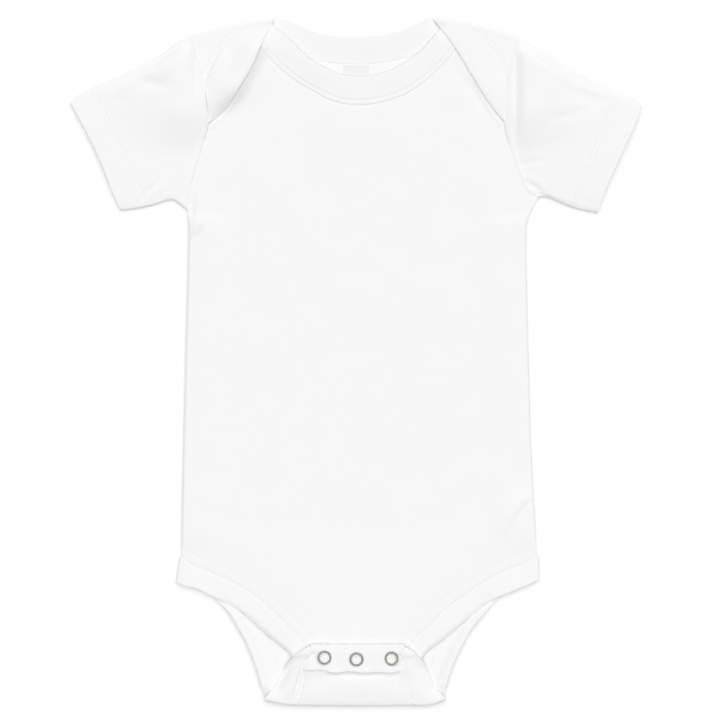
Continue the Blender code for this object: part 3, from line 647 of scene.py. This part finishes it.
def bodyRows(bottom, top, sideSpans, armholeSpans):
    edges = []
    for which, end in (("left", 0), ("right", -1)):
        low = insideFold(which, sideSpans)
        low[0] = bottom[end]
        edges.append(joined(low, curve((*armhole[which][:-1], top[end]), armholeSpans)))
    rows = patch(bottom, top, *edges, heights(*edges))
    near = (0.04, 0.13, 0.27, 0.46, 0.7)  # more columns where the sides turn
    return [[row[0], *[row[0].lerp(row[1], share) for share in near], *row[1:-1],
             *[row[-1].lerp(row[-2], share) for share in near[::-1]], row[-1]] for row in rows]


# Front of the body

frontBody = {
    "loft": 0.5, "loftReach": 24, "seamDip": 0.15, "seamDipWidth": 1, "shoulderInset": 1,
    "nestle": 0.6, "nestleReach": 2.5, "nestleFrom": (384, 368),
    "stitchDip": 0.12, "stitchFromSeam": 6.4, "stitchDipWidth": 0.8,
    "uneven": (34, 0.16), "freeFrom": (2, 14), "chestFrom": 350, "seamsBelow": 110,
    # x and y of both ends, bow, half width, rise, and the half width of the gentler flank if there is one
    "creases": (
        # right hip
        (108.2, 130.2, 91.8, 104.6, -3.2, 1.5, 1.3, 7), (98.2, 139.5, 101.5, 147, 0.5, 2.4, -0.4),
        (97.5, 169, 97.5, 132, 0, 5, -0.2),
        # left underarm
        (-99.2, 291, -96.9, 317.5, -0.4, 1.4, 1.5, 6), (-94.2, 298.6, -99.2, 286.4, -0.2, 1.2, 0.9, 3),
        (-92, 315, -93.5, 304, 0, 2.6, -0.5),
        # right underarm
        (101.2, 304, 101.6, 285, 0.6, 1.6, 0.4), (97.6, 296, 95, 262, 1, 2.6, -0.22),
        (92.6, 292, 91, 258, 0.8, 2.4, -0.12),
        # lower left and lower right
        (-90, 167.4, -66, 167, -0.6, 3, -0.14), (-90, 142.5, -76, 142, 0.4, 2.6, -0.14),
        (-96, 120, -70, 112, 1, 5, -0.15), (60, 150, 92, 158, 1, 6, -0.12),
        # along the row that holds the snap tape
        (-22.2, 38.8, -3.6, 39.5, 1.2, 1.2, -0.4, 2.4), (-3.6, 39.5, 24, 39.8, 0.6, 1.2, -0.4, 2.4),
        # chest
        (46, 366, 72, 361, 0, 6, -0.3), (78, 356, 90, 340, 0, 6, -0.3),
        (53, 398, 84, 360, 1, 3, -0.35),
    ),
}


heldDown = treeOf(  # what holds the front down
    both(side, 120) + both(armhole, 60) + both(frontLegSeam, 80) + both(lapFree, 60)
    + [curve(frontNeckSeam, 120)]
)
legTree = treeOf(both(frontLegSeam, 400))


def underLap(x, y):
    line = lapLine[sideOf(x)]
    return y >= line[0].y and abs(x) > abs(min(line, key=lambda point: abs(point.y - y)).x)


def frontLevel(x, y, i, j):
    look = frontBody
    distance = gap(heldDown, x, y)
    rise = 0
    if not underLap(x, y):
        free = ramp(distance, *look["freeFrom"])
        if y > look["chestFrom"]:  # the chest stands against the lower ends of the laps
            nestle = look["nestle"] * ramp(y, *look["nestleFrom"])
            rise += nestle * hump(gap(lapTree[sideOf(x)], x, y), look["nestleReach"])
        rise += look["loft"] * ramp(distance, 0.5, look["loftReach"])
        rise += creaseRise(look["creases"], x, y) * max(free, ramp(distance, 0, 3))
        rise += unevenness(x, y, *look["uneven"]) * free
        rise += sideRaise(x, y) * ramp(gap(sideTree, x, y), 30, 2)
    dip = look["seamDip"] * hump(distance, look["seamDipWidth"])
    if y < look["seamsBelow"]:
        dip += look["stitchDip"] * hump(gap(legTree, x, y) - look["stitchFromSeam"], look["stitchDipWidth"])
    return rounded(frontUnder(x, y) + halfJersey + rise - dip * (1 - foldShare(y)), x, y)


def makeFrontBody():
    legs = {which: curve(frontLegSeam[which], spans["leg"]) for which in side}
    neck = curve(frontNeckSeam, spans["neck"])
    inset = Vector((0, -frontBody["shoulderInset"]))
    tops = {}
    for which, end in (("left", 0), ("right", -1)):
        keys = [Vector(key) + inset for key in shoulder[which][:-1]]
        tops[which] = curve((*keys, neck[end]), spans["shoulder"])
    end = curve((frontLegSeam["left"][-1], frontLegSeam["right"][-1]), spans["crotch"])
    bottom = joined(legs["left"], end, legs["right"][::-1])
    top = joined(tops["left"], neck, tops["right"][::-1])
    rows = lifted(bodyRows(bottom, top, spans["side"], spans["armhole"]), frontLevel)
    piece = clothPiece("frontBody", [rows], jersey, "down")
    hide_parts("front_panel")
    return piece


# Back of the body, its shoulder laps and its crotch tongue

backBody = {
    "uneven": (8, 0.5, 23), "lapUneven": (26, 0.2, 3), "tongueUneven": (9, 0.12, 5),
    "seamGroove": 0.5, "seamGrooves": ((0, 0.7), (3.6, 0.6)), "closeReach": 0.075, "closeColumns": 8,
    "lapCreases": (
        (-91.4, 380.4, -81.2, 400.8, 0.6, 1.1, 1.6, 6),
        (-76, 404, -72, 401, 0, 4, -0.2), (66, 402, 70, 396, 0, 4, -0.2),
    ),
    "tongueCreases": (
        (-23, 20, 25, 19.6, 0, 2, -0.9),
        (-22, 6.5, 26, 5.5, -0.8, 2.6, -0.3), (-14, 15, 20, 16, -1.5, 3.6, 0.25),
        (-26, 17, -12, 16, 0, 3, -0.3),
    ),
}


tongueTree = treeOf(both(tongueSeam, 200))


def backLevel(x, y, i, j):
    uneven = abs(unevenness(x, y, *backBody["uneven"])) * ramp(y, 96, 80) * ramp(y, 4, 14)
    return rounded(halfJersey + uneven, x, y)


def lapUneven(x, y):
    return creaseRise(backBody["lapCreases"], x, y) + unevenness(x, y, *backBody["lapUneven"])


def lapLevel(x, y, i, j):
    return levels["lapUnder"] + halfJersey + lapUneven(x, y) * ramp(i, 0, 0.2)


def tongueLevel(x, y, i, j):
    look = backBody
    uneven = creaseRise(look["tongueCreases"], x, y) + unevenness(x, y, *look["tongueUneven"])
    fromSeam = gap(tongueTree, x, y)
    uneven -= look["seamGroove"] * sum(hump(fromSeam - at, wide) for at, wide in look["seamGrooves"])
    return tongueUnder(x, y) + halfJersey + uneven * ramp(i, 0, 0.2) * ramp(1 - i, 0.3, 0.5)


def tongueShares():  # columns of the tongue, close together along its seams
    reach = backBody["closeReach"]
    close = backBody["closeColumns"]
    wide = spans["crotch"] - 2 * close
    near = [reach * k / close for k in range(close)]
    middle = [reach + (1 - 2 * reach) * k / wide for k in range(wide + 1)]
    return near + middle + [1 - share for share in near[::-1]]


def tongueCorner(which):
    return Vector((tongueFree[which][-1][0] - outSign[which] * cloth["seam"], tongueEnd))


def shoulderOutward(which):
    ends = (shoulder[which][0], shoulderRibEnd[which])
    return outwardOf(*(ends if which == "left" else ends[::-1]))


def lapOutline(which):  # both edges of a lap's cloth, from the shoulder fold to the point between them
    point = Vector(lapSeam[which][0])
    outer = cut(curve(armhole[which], 60)[::-1], lambda p: p.y > point.y + 1)
    inner = cut(curve(lapSeam[which], 60)[::-1], lambda p: abs(p.x) < abs(point.x) - 1)
    return curve((*outer, point), spans["lap"]), curve((*inner, point), spans["lap"])


def makeBackBody():
    tops = {which: curve(shoulder[which], spans["shoulder"]) for which in side}
    legs = {which: curve(backLegSeam[which], spans["leg"]) for which in side}
    fine = 600
    fold = curve((backLegSeam["left"][-1], crotchFoldMiddle, backLegSeam["right"][-1]), fine)
    fold = [fold[round(share * fine)] for share in tongueShares()]
    bottom = joined(legs["left"], fold, legs["right"][::-1])
    top = joined(tops["left"], curve(backNeckSeam, spans["neck"]), tops["right"][::-1])
    sheets = [lifted(bodyRows(bottom, top, spans["backSide"], spans["backArmhole"]), backLevel)]
    for which in side:
        lap = crossing(*lapOutline(which), spans["shoulder"])
        lap = lifted(startingOn(tops[which], lap), lapLevel)
        low = lifted([tops[which], tops[which]], backLevel)[0]
        sheets.append([low] + bend(low, lap[0], shoulderOutward(which)) + lap)
    edges = [curve(tongueSeam[which], spans["tongue"]) + [tongueCorner(which)] for which in side]
    tongue = [[a.lerp(b, share) for share in tongueShares()] for a, b in zip(*edges)]
    tongue = lifted(startingOn(fold, tongue), tongueLevel)
    low = lifted([fold, fold], backLevel)[0]
    sheets.append([low] + bend(low, tongue[0], Vector((0, -1, 0)), levels["foldSquash"]) + tongue)
    piece = clothPiece("backBody", sheets, jersey, "down")
    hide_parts("back_panel")
    return piece


# Neck ribs

neckRib = {
    "columns": 22, "puff": 0.25, "grooveFromSeam": 2.9, "lipFromSeam": (1.4, 4.5), "grooveDepth": 0.2,
    "lipHeight": 0.15, "lineWidth": 0.8, "width": 17, "seamDip": 0.25,
    "lapLift": sides(6.2, 0.5), "lapRoll": sides(1.1, 0.35),
    "lapEndDrop": 1.1, "lapRollReach": sides(5, 3), "lapPuff": 0.25, "backPuff": 0.12,
    # how high the front rib's free edge stands: at its left end, middle and right end
    "freeLift": (1.4, 0.5, 0.8), "backLift": 0.7, "uneven": (12, 0.12, 7),
}


def ribProfile(fromSeam, width):  # a puffed rib with one stitched groove beside its seam
    look = neckRib
    rise = look["puff"] * arch(min(max(fromSeam / width, 0), 1)) ** 0.6
    rise -= look["grooveDepth"] * hump(fromSeam - look["grooveFromSeam"], look["lineWidth"])
    for lip in look["lipFromSeam"]:
        rise += look["lipHeight"] * hump(fromSeam - lip, look["lineWidth"])
    return rise - look["seamDip"] * hump(fromSeam, look["lineWidth"])


def neckFrontLevel(x, y, i, j):
    width = neckRib["width"]
    rise = 0
    if not underLap(x, y):
        fromLaps = min(gap(lapTree[which], x, y) for which in side)
        left, middle, right = neckRib["freeLift"]
        lift = middle + (left - middle) * ramp(i, 0.5, 0.2) + (right - middle) * ramp(i, 0.5, 0.8)
        rise = ribProfile((1 - j) * width, width) + lift * ramp(j, 1, 0) * ramp(fromLaps, 0, 6)
    rise += unevenness(x, y, *neckRib["uneven"])
    return frontUnder(x, y) + halfRib + rise


def neckBackLevel(x, y, i, j):
    rise = neckRib["backLift"] * ramp(j, 1, 0) * ramp(min(i, 1 - i), 0, 0.2)
    return halfRib + neckRib["backPuff"] * arch(j) + rise


def lapRibLevel(which):
    lift = neckRib["lapLift"][which]
    roll = neckRib["lapRoll"][which]

    def level(x, y, i, j):  # i from the armhole up to the shoulder, j from the free edge to the seam
        along = bankShare(y)
        rise = lift * along * ramp(1 - j, 0, 1)
        rolled = max(along, 1.1 * ramp(y, 395, 375) * ramp(i, 0, 0.05))
        rise -= roll * rolled * max(1 - j * neckRib["width"] / neckRib["lapRollReach"][which], 0) ** 2
        rise -= neckRib["lapEndDrop"] * ramp(i, 0.86, 0.97) * ramp(j, 0.32, 0)
        rise += neckRib["lapPuff"] * arch(j) ** 0.7 * ramp(1 - i, 0, 0.15)
        rise += lapUneven(x, y) * ramp(1 - i, 0, 0.2)
        flush = (cloth["rib"] - cloth["jersey"]) * ramp(j, 0.5, 1)
        return levels["lapUnder"] + halfRib + rise - flush
    return level


def makeNeckRibFront():
    rows = strip(frontNeckFree, frontNeckSeam, spans["ribNeck"], neckRib["columns"], neckFrontLevel)
    piece = clothPiece("neckRibFront", [rows], rib, "columns")
    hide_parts("neckband_front")
    return piece


def makeNeckRibBack():
    laps = {}
    columns = neckRib["columns"]
    for which in side:
        low = Vector(lapFree[which][0]).y
        high = Vector(lapSeam[which][0]).y
        edge = [p for p in curve(armhole[which], 200) if low <= p.y <= high]
        laps[which] = strip(lapFree[which], lapSeam[which], spans["ribLap"], columns, lapRibLevel(which),
                            curve(edge[::8] + edge[-1:], columns))
    neck = strip(backNeckFree, backNeckSeam, spans["ribNeck"], columns, neckBackLevel)
    rows = laps["left"]
    rows += bend(laps["left"][-1], neck[0], shoulderOutward("left")) + neck
    rows += bend(neck[-1], laps["right"][-1], shoulderOutward("right")) + laps["right"][::-1]
    piece = clothPiece("neckRibBack", [rows], rib, "columns")
    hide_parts("neckband_back")
    return piece


# Leg ribs

legRib = {
    "columns": 20, "puff": 0.12, "seamDip": 0.35, "width": 12.5,
    "freeUnder": 2, "freeSinkReach": 0.2, "hipLift": 0.5,
    "backPuff": 0.3, "backPuffAt": 2.4, "backLift": sides(2.3, 2.2), "backLiftReach": 7.5,
    "topRise": 0.9, "tongueSeamDip": 0.7, "endDive": 1.3, "tonguePuff": 0.3,
    "bandDrop": sides(1, 0.95), "bandDropFrom": (31, 21),
    "uneven": (13, 0.08, 13), "backUneven": (8, 0.6, 23),
    "creases": sides(
        (
            (-48.5, 8, -34.5, 28, 2.2, 2.4, -0.9), (-52, 10, -27, 36, 5, 1.4, 0.45),
            (-41.5, 3, -31.5, 30, 1, 1.2, 0.5),
        ),
        (
            (33, 5, 30.5, 28, 0, 1.6, -0.5), (45, 8, 36, 30, 0.5, 4, 0.5),
            (50.5, 6, 45.5, 16, 0, 1.3, -0.4),
        ),
    ),
}


def legFrontLevel(x, y, i, j):
    fromSeam = (1 - j) * legRib["width"]
    rise = legRib["puff"] * arch(j) ** 0.6 - legRib["seamDip"] * hump(fromSeam, 0.8)
    above = max(frontUnder(x, y) - legRib["freeUnder"], 0)
    rise -= above * ramp(j, legRib["freeSinkReach"], 0) * ramp(1 - i, 0.02, 0.12) * ramp(i, 0.15, 0.35)
    rise += legRib["hipLift"] * ramp(i, 0, 0.08) * ramp(i, 0.42, 0.22) * ramp(j, 0.9, 0)
    rise += unevenness(x, y, *legRib["uneven"]) * ramp(y, 38, 46)
    flush = (cloth["rib"] - cloth["jersey"]) * ramp(i, 0, 0.1)
    return frontUnder(x, y) + halfRib - flush + rise * ramp(i, 0, 0.06)


def legBackLevel(x, y, i, j):
    lift = legRib["backLift"][sideOf(x)] * ramp(i, 0.22, 0.45) * ramp(1 - i, 0, 0.1)
    fromFree = j * legRib["width"] / legRib["backPuffAt"]
    puff = legRib["backPuff"] * (1 - (1 - fromFree) ** 2 if fromFree < 1 else ramp(fromFree, 3.6, 1))
    puff += abs(unevenness(x, y, *legRib["backUneven"])) * arch(j)
    lift *= ramp(j * legRib["width"], legRib["backLiftReach"], 0)
    return halfRib + lift + puff * ramp(i, 0.2, 0.4) * ramp(1 - i, 0, 0.12)


def legTongueLevel(which):
    def level(x, y, i, j):  # i from the crotch fold up, j from the free edge to the seam
        rise = legRib["tonguePuff"] * arch(j) ** 0.6 + creaseRise(legRib["creases"][which], x, y)
        under = tongueUnder(x, y)
        drop = legRib["bandDrop"][which] * ramp(y, *legRib["bandDropFrom"]) * ramp(j, 0.7, 0)
        under -= (under - cloth["rib"] - 0.08) * drop * ramp(i, 0, 0.2)
        under += legRib["topRise"] * ramp(y, 29, 33)
        rise -= legRib["tongueSeamDip"] * hump((1 - j) * legRib["width"], 0.7) * ramp(y, 26, 20)
        rise -= legRib["endDive"] * ramp(i, 0.9, 1)
        return under + halfRib + rise * ramp(i, 0, 0.25)
    return level


def makeLegRib(which):
    count = spans["ribLeg"]
    columns = legRib["columns"]
    front = strip(frontLegFree[which], frontLegSeam[which], count, columns, legFrontLevel)
    back = strip(backLegFree[which], backLegSeam[which], count, columns, legBackLevel)
    tongue = strip(tongueFree[which], tongueSeam[which], spans["ribTongue"], columns, legTongueLevel(which))
    sagRows = 8
    for run in (back[::-1], tongue):
        for i, row in enumerate(run[:sagRows]):
            for j, point in enumerate(row):
                point.y -= crotchSag[which] * arch(j / columns) * (1 - i / sagRows) ** 2
    rows = front[::-1]
    rows += bend(front[0], back[0], Vector((outSign[which], 0, 0))) + back
    rows += bend(back[-1], tongue[0], edgeOutward(back[-1], 0, back[-2][0]), levels["foldSquash"]) + tongue
    piece = clothPiece("legRib" + which.title(), [rows], rib, "columns")
    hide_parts("leg_band_" + which)
    return piece


# Sleeves

sleeve = {
    "puff": sides(1, 1.5), "armholeGap": 0.02, "hemThickness": 0.2, "hemStep": 1.4,
    "seamRidge": 0.35, "seamDip": 0.25, "underarmTuck": (0.8, 0.4), "uneven": (24, 0.22, 17),
    # the caps stand up beside the armholes: height, how far out they start and how soon they are up
    "cap": sides((1, 98.9, 3.5), (2.6, 98.2, 5)), "capFoot": sides((3.6, 4), (2, 5)), "capFrom": (336, 368),
    "hemLine": sides(((-161.6, 375.4), (-130.2, 308.2)), ((160.6, 373.3), (135.2, 306.4))),
    "creases": sides(
        (
            (-99.5, 408, -99.2, 366, 0, 1.8, -0.4),
            (-140, 386.5, -114.5, 380.5, -1.5, 4.6, -0.9),
            (-127, 382, -115, 380, 0, 3.5, -0.4), (-114, 380.7, -96, 356, 1.5, 6, -0.3),
            (-130.8, 312.4, -119, 324.4, -0.6, 1.5, -0.8), (-127, 310.4, -117, 321.5, -0.6, 2, 0.35),
            (-125, 324.4, -114, 332, -0.5, 2, -0.3), (-149, 373.5, -140, 368.5, 0, 3.2, -0.3),
        ),
        (
            (99.6, 410, 99, 350, 0, 2.6, -0.6),
            (113.5, 390, 123.5, 383, 0, 4, -0.3), (152.1, 371.5, 131, 377, 1, 4.2, -0.85),
            (150, 371, 116, 359, 2, 3.6, -0.55), (100.4, 331.2, 115, 334.2, 0.8, 1.8, -0.5),
            (112.8, 343, 126.3, 346.5, 0, 2.2, -0.2), (101.5, 321.8, 114, 315, 0.8, 1.3, -0.6),
            (103, 325, 116, 318, 0.8, 1.6, 0.35), (136, 311, 148, 306, 0, 3, -0.3),
            (164, 368, 168.5, 352, 0, 2.6, -0.3),
        ),
    ),
}


armTree = treeOf(both(armhole, 400))


def sleeveLevel(which, x, y, i, j):  # i from the armhole to the cuff, j from the top fold to the underarm
    head = (levels["lapUnder"] - levels["frontUnder"]) * ramp(j, 0.7, 0.4) * ramp(i, 0.5, 0)
    puff = sleeve["puff"][which] * ramp(i, 0, 0.25) * arch(j) ** 0.5
    away = ramp(min(j, 1 - j), 0, 0.09)
    height, start, reach = sleeve["cap"][which]
    fromSeam = gap(armTree, x, y)
    cap = height * (1 - math.exp(-max(abs(x) - start, 0) / reach))
    height, reach = sleeve["capFoot"][which]
    cap += height * (1 - math.exp(-fromSeam / reach))
    cap = cap * ramp(i, 0.9, 0.15) - sleeve["seamDip"] * hump(fromSeam, 0.8)
    puff += cap * ramp(j, 0, 0.08) * ramp(y, *sleeve["capFrom"])
    folds = creaseRise(sleeve["creases"][which], x, y)
    folds += unevenness(x, y, *sleeve["uneven"]) * ramp(i, 0, 0.1)
    start, end = [Vector(point) for point in sleeve["hemLine"][which]]
    pastHem = outSign[which] * (Vector((x, y)) - start).dot(outwardOf(start, end).xy)
    hem = sleeve["hemThickness"] * ramp(pastHem, -sleeve["hemStep"] / 2, sleeve["hemStep"] / 2)
    ridge = sleeve["seamRidge"] * hump(i - 0.03, 0.022) * ramp(j, 0.45, 0.6) * ramp(1 - j, 0, 0.1)
    return levels["frontUnder"] + halfJersey + max(head + puff + (folds + hem) * away + ridge, 0)


def makeSleeve(which):
    clear = Vector((outSign[which] * sleeve["armholeGap"], 0))
    around = spans["sleeveAround"]
    keys = [Vector(key) + clear for key in armhole[which]]
    tuckX, tuckY = sleeve["underarmTuck"]
    keys[0] += Vector((-outSign[which] * tuckX, tuckY))
    top = curve((keys[-1], *sleeveTop[which][1:]), spans["sleeveLong"])
    under = curve((keys[0], *sleeveUnder[which][1:]), spans["sleeveLong"])
    root = curve(keys, around)[::-1]
    cuff = curve((sleeveTop[which][-1], *cuffBetween[which], sleeveUnder[which][-1]), around)
    shares = [i / spans["sleeveLong"] for i in range(spans["sleeveLong"] + 1)]
    rings = []
    for i, (column, share) in enumerate(zip(patch(root, cuff, top, under, shares), shares)):
        lower = [Vector((p.x, p.y, halfJersey)) for p in column]
        upper = [Vector((p.x, p.y, sleeveLevel(which, p.x, p.y, share, j / around)))
                 for j, p in enumerate(column)]
        turnUnder = [row[0] for row in bend(lower[-1:], upper[-1:], edgeOutward(under, i, top[i]))]
        turnTop = [row[0] for row in bend(upper[:1], lower[:1], edgeOutward(top, i, under[i]))]
        rings.append(lower + turnUnder + upper[::-1] + turnTop)
    rows = [list(row) for row in zip(*rings)]
    piece = clothPiece("sleeve" + which.title(), [rows], jersey, "columns", closed=True)
    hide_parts("sleeve_" + which)
    return piece


# Snap strip on the tongue's end

snapStrip = {
    "low": 22, "inset": 1, "width": 60,
    "lowEdge": ((-21.8, 22.6), (-13.2, 20.9), (-4.5, 21.7), (4.9, 20.9), (14, 21.2), (21.5, 20.9)),
    "lip": 2, "lipRound": 0.6, "rows": 22, "columns": 72,
    "edgeRoll": 0.25, "dimple": 0.9, "dimpleReach": 5, "waveLength": 17, "waveHeight": 0.35,
    "endSink": 1.8, "endReach": 6, "tuck": 2.2, "uneven": (6, 0.35, 19),
    "creases": ((-31, 29.6, -22, 33.3, 0.9, 0.9, -0.6, 3),),
}
snaps = {
    "centres": ((-19.3, 30.4), (0.3, 29.4), (21.8, 29.8)),
    "lean": ((0, 7), (3, 0), (0, -7)),  # degrees about x and y
    "radius": 3.7, "wire": 0.5, "steps": 48, "wireSteps": 10,
}


def snapStripLevel(x, y, i, j):
    look = snapStrip
    rise = look["edgeRoll"] * (hump(i, 0.12) + hump(1 - i, 0.12))
    rise += look["waveHeight"] * math.sin(2 * math.pi * x / look["waveLength"]) * hump(i, 0.3)
    for cx, cy in snaps["centres"]:
        rise -= look["dimple"] * hump(math.hypot(x - cx, y - cy), look["dimpleReach"])
    rise += unevenness(x, y, *look["uneven"])
    sink = look["endSink"] * max(1 - min(j, 1 - j) * look["width"] / look["endReach"], 0) ** 2
    sink *= ramp(y, 35, 30)
    rise = max(rise, 0) - sink + creaseRise(look["creases"], x, y)
    return tongueUnder(x, y) + cloth["jersey"] * 1.5 + cloth["seam"] + rise


def makeSnapStrip():
    look = snapStrip
    edges = []
    for which in side:
        edge = curve(tongueSeam[which], 60) + [tongueCorner(which)]
        inward = [look["inset"] * ramp(p.y, 36, 27) - look["tuck"] * ramp(p.y, 31, 35) for p in edge]
        edge = [p - Vector((outSign[which] * move, 0)) for p, move in zip(edge, inward)]
        edge = cut(edge, lambda p: p.y > look["low"])
        edges.append(curve(edge, look["rows"]))
    low = curve((edges[0][0], *look["lowEdge"], edges[1][0]), look["columns"])
    rows = lifted(startingOn(low, crossing(*edges, look["columns"])), snapStripLevel)
    reach = cloth["jersey"] + cloth["seam"]
    turn = look["lipRound"]
    over = [p + Vector((0, reach * turn, -reach * (1 - turn))) for p in rows[-1]]
    lip = [p + Vector((0, reach, -look["lip"])) for p in rows[-1]]
    piece = clothPiece("snapStrip", [rows + [over, lip]], (cloth["jersey"], whiteRib, "rib"), "down")
    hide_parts("snap_placket")
    return piece


def makeSnapRing(number, centre):
    low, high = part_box("snap_cap_" + str(number))
    floorZ = low.z / mm
    height = (high.z - low.z) / mm
    bm = bmesh.new()
    ring = []
    for k in range(snaps["wireSteps"]):
        angle = 2 * math.pi * k / snaps["wireSteps"]
        z = floorZ + height / 2 + math.sin(angle) * height / 2
        ring.append(bm.verts.new((snaps["radius"] + math.cos(angle) * snaps["wire"], 0, z)))
    edges = [bm.edges.new((a, b)) for a, b in zip(ring, ring[1:] + ring[:1])]
    bmesh.ops.spin(bm, geom=ring + edges, cent=(0, 0, 0), axis=(0, 0, 1), angle=2 * math.pi,
                   steps=snaps["steps"], use_merge=True)
    sealed(bm)
    for degrees, axis in zip(snaps["lean"][number - 1], "XY"):
        lean = Matrix.Rotation(math.radians(degrees), 3, axis)
        bmesh.ops.rotate(bm, verts=bm.verts, cent=(0, 0, floorZ), matrix=lean)
    bmesh.ops.translate(bm, vec=(*centre, 0), verts=bm.verts)
    piece = addPiece("snapRing" + str(number), bm, snapMetal, "snap_metal")
    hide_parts("snap_cap_" + str(number))


def dressHiddenSnaps():
    for name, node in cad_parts.items():
        if name.startswith("snap_") and not node.hide_render:
            node.data.materials.clear()
            node.data.materials.append(snapMetal)


# Label

def makeLabel():
    width, length = label["width"], label["length"]
    middle = label["under"] + label["thickness"] / 2
    edges = [[Vector((width * x, y)) for y in (label["top"], label["top"] - length)] for x in (-0.5, 0.5)]
    rows = crossing(*[curve(edge, label["rows"]) for edge in edges], label["columns"])
    rows = lifted(rows, lambda x, y, i, j: middle + label["puff"] * arch(j) * i)
    piece = clothPiece("neckLabel", [rows], (label["thickness"], labelSatin, "label_satin"), "rows")
    piece.modifiers["edges"].width = label["roundOff"] * mm
    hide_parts("neck_label")
    return piece


frontPiece = makeFrontBody()
print("front made")
backPiece = makeBackBody()
print("back made")
neckFrontPiece = makeNeckRibFront()
neckBackPiece = makeNeckRibBack()
legPieces = {which: makeLegRib(which) for which in side}
print("ribs made")
sleevePieces = {which: makeSleeve(which) for which in side}
print("sleeves made")
stripPiece = makeSnapStrip()
labelPiece = makeLabel()
for number, centre in enumerate(snaps["centres"], 1):
    makeSnapRing(number, centre)
dressHiddenSnaps()
print("snaps and label made")


# Stitching: rows of small stitches sunk in the cloth under them

stitching = {
    "length": 2.1, "gap": 0.55, "width": 0.5, "height": 0.4, "sunk": 0.08, "leastUp": 0.4,
    # how far the rows lie from their seams, and the row along the snap tape
    "legRows": (0.9, 6.5), "tongueRows": (0.9, 4.4), "lapRows": (0.9, 3.6), "hemRowGap": 3,
    "tape": ((-22.2, 38.8), (-12.6, 40.4), (-2, 39.4), (10, 40.2), (23, 39.8), (31, 39.4)),
}


def addStitches(bm, on, path):
    total = runLengths(path)
    step = stitching["length"] + stitching["gap"]
    goals = [(k + 0.5) * step for k in range(int(total[-1] / step))]
    for j, share in walk(total, goals):
        x, y = path[j].lerp(path[j + 1], share).xy
        above = Vector((x * mm, y * mm, 50 * mm)) + shift
        place, normal = on.ray_cast(above, Vector((0, 0, -1)))[:2]
        if place is None or normal.z < stitching["leastUp"]:  # too steep here
            continue
        along = (path[j + 1] - path[j]).normalized()
        along = Vector((along.x, along.y, 0))
        along = (along - normal * along.dot(normal)).normalized()
        across = normal.cross(along)
        local = (place - shift) / mm - normal * stitching["sunk"]
        for vert in bmesh.ops.create_uvsphere(bm, u_segments=6, v_segments=4, radius=0.5)["verts"]:
            px, py, pz = vert.co
            vert.co = (local + along * (pz * stitching["length"]) + across * (px * stitching["width"])
                       + normal * (py * stitching["height"]))


def makeStitching(name, rows):
    graph = bpy.context.evaluated_depsgraph_get()
    bm = bmesh.new()
    for piece, path in rows:
        addStitches(bm, BVHTree.FromObject(piece, graph), path)
    addPiece(name, bm, whiteThread, "jersey")


def rowsBeside(piece, seam, free, count, distances):
    seam = curve(seam, count)
    free = curve(free, count)
    return [(piece, beside(seam, distance, free)) for distance in distances]


def makeAllStitching():
    bpy.context.view_layer.update()
    makeStitching("neckStitching", rowsBeside(neckFrontPiece, frontNeckSeam, frontNeckFree, 160,
                                              [-neckRib["grooveFromSeam"]]))
    legRows = []
    hemRows = []
    lapRows = []
    for which in side:
        legRows += rowsBeside(frontPiece, frontLegSeam[which], frontLegFree[which], 100, stitching["legRows"])
        legRows += rowsBeside(backPiece, tongueSeam[which], tongueFree[which], 40, stitching["tongueRows"])
        lapRows += rowsBeside(backPiece, lapSeam[which], lapFree[which], 60, stitching["lapRows"])
        start, end = [Vector(point) for point in sleeve["hemLine"][which]]
        line = [start.lerp(end, k / 40) for k in range(41)]
        inward = Vector((-outSign[which], 0.4)).normalized() * stitching["hemRowGap"]
        hemRows += [(sleevePieces[which], line), (sleevePieces[which], [p + inward for p in line])]
    makeStitching("legStitching", legRows)
    makeStitching("sleeveStitching", hemRows)
    makeStitching("lapStitching", lapRows)
    makeStitching("tapeStitching", [(frontPiece, curve(stitching["tape"], 40))])


makeAllStitching()
print("stitching made")


# Floor, light and camera

studio = {
    "floorSize": 6, "floorColour": (0.955, 0.955, 0.955, 1),
    "worldStrength": 0.2, "keyStrength": 2.774, "keyAngle": 95, "keyFrom": (0.05, 0.26, 1),
}
view = {
    "lens": 100, "sensor": 36, "frameWidth": 441.4, "centre": (2.45, 212.1), "focusLevel": 3, "clipEnd": 50,
}


def makeFloor():
    bm = bmesh.new()
    bmesh.ops.create_grid(bm, x_segments=1, y_segments=1, size=studio["floorSize"] / 2)
    mesh = bpy.data.meshes.new("floor")
    bm.to_mesh(mesh)
    bm.free()
    look = {"shader": {"Base Color": studio["floorColour"], "Roughness": 0.9, "Specular IOR Level": 0.1}}
    mesh.materials.append(newMaterial("paleFloor", look)[0])
    linked("floor", mesh)


def makeLight():
    world = bpy.data.worlds.new("studio")
    world.use_nodes = True
    tree = world.node_tree
    feed(tree, tree.nodes["Background"], Color=(1, 1, 1, 1), Strength=studio["worldStrength"])
    bpy.context.scene.world = world
    lamp = bpy.data.lights.new("key", "SUN")
    lamp.energy = studio["keyStrength"]
    lamp.angle = math.radians(studio["keyAngle"])
    key = linked("key", lamp)
    key.rotation_mode = "QUATERNION"
    key.rotation_quaternion = Vector(studio["keyFrom"]).to_track_quat("Z", "Y")


def makeCamera():
    data = bpy.data.cameras.new("camera")
    data.lens = view["lens"]
    data.sensor_width = view["sensor"]
    data.clip_end = view["clipEnd"]
    camera = linked("camera", data)
    away = view["frameWidth"] * data.lens / data.sensor_width + view["focusLevel"]
    camera.location = Vector((*view["centre"], away)) * mm + shift
    bpy.context.scene.camera = camera


makeFloor()
makeLight()
makeCamera()
bpy.context.scene.view_settings.view_transform = "Standard"
print("studio made")
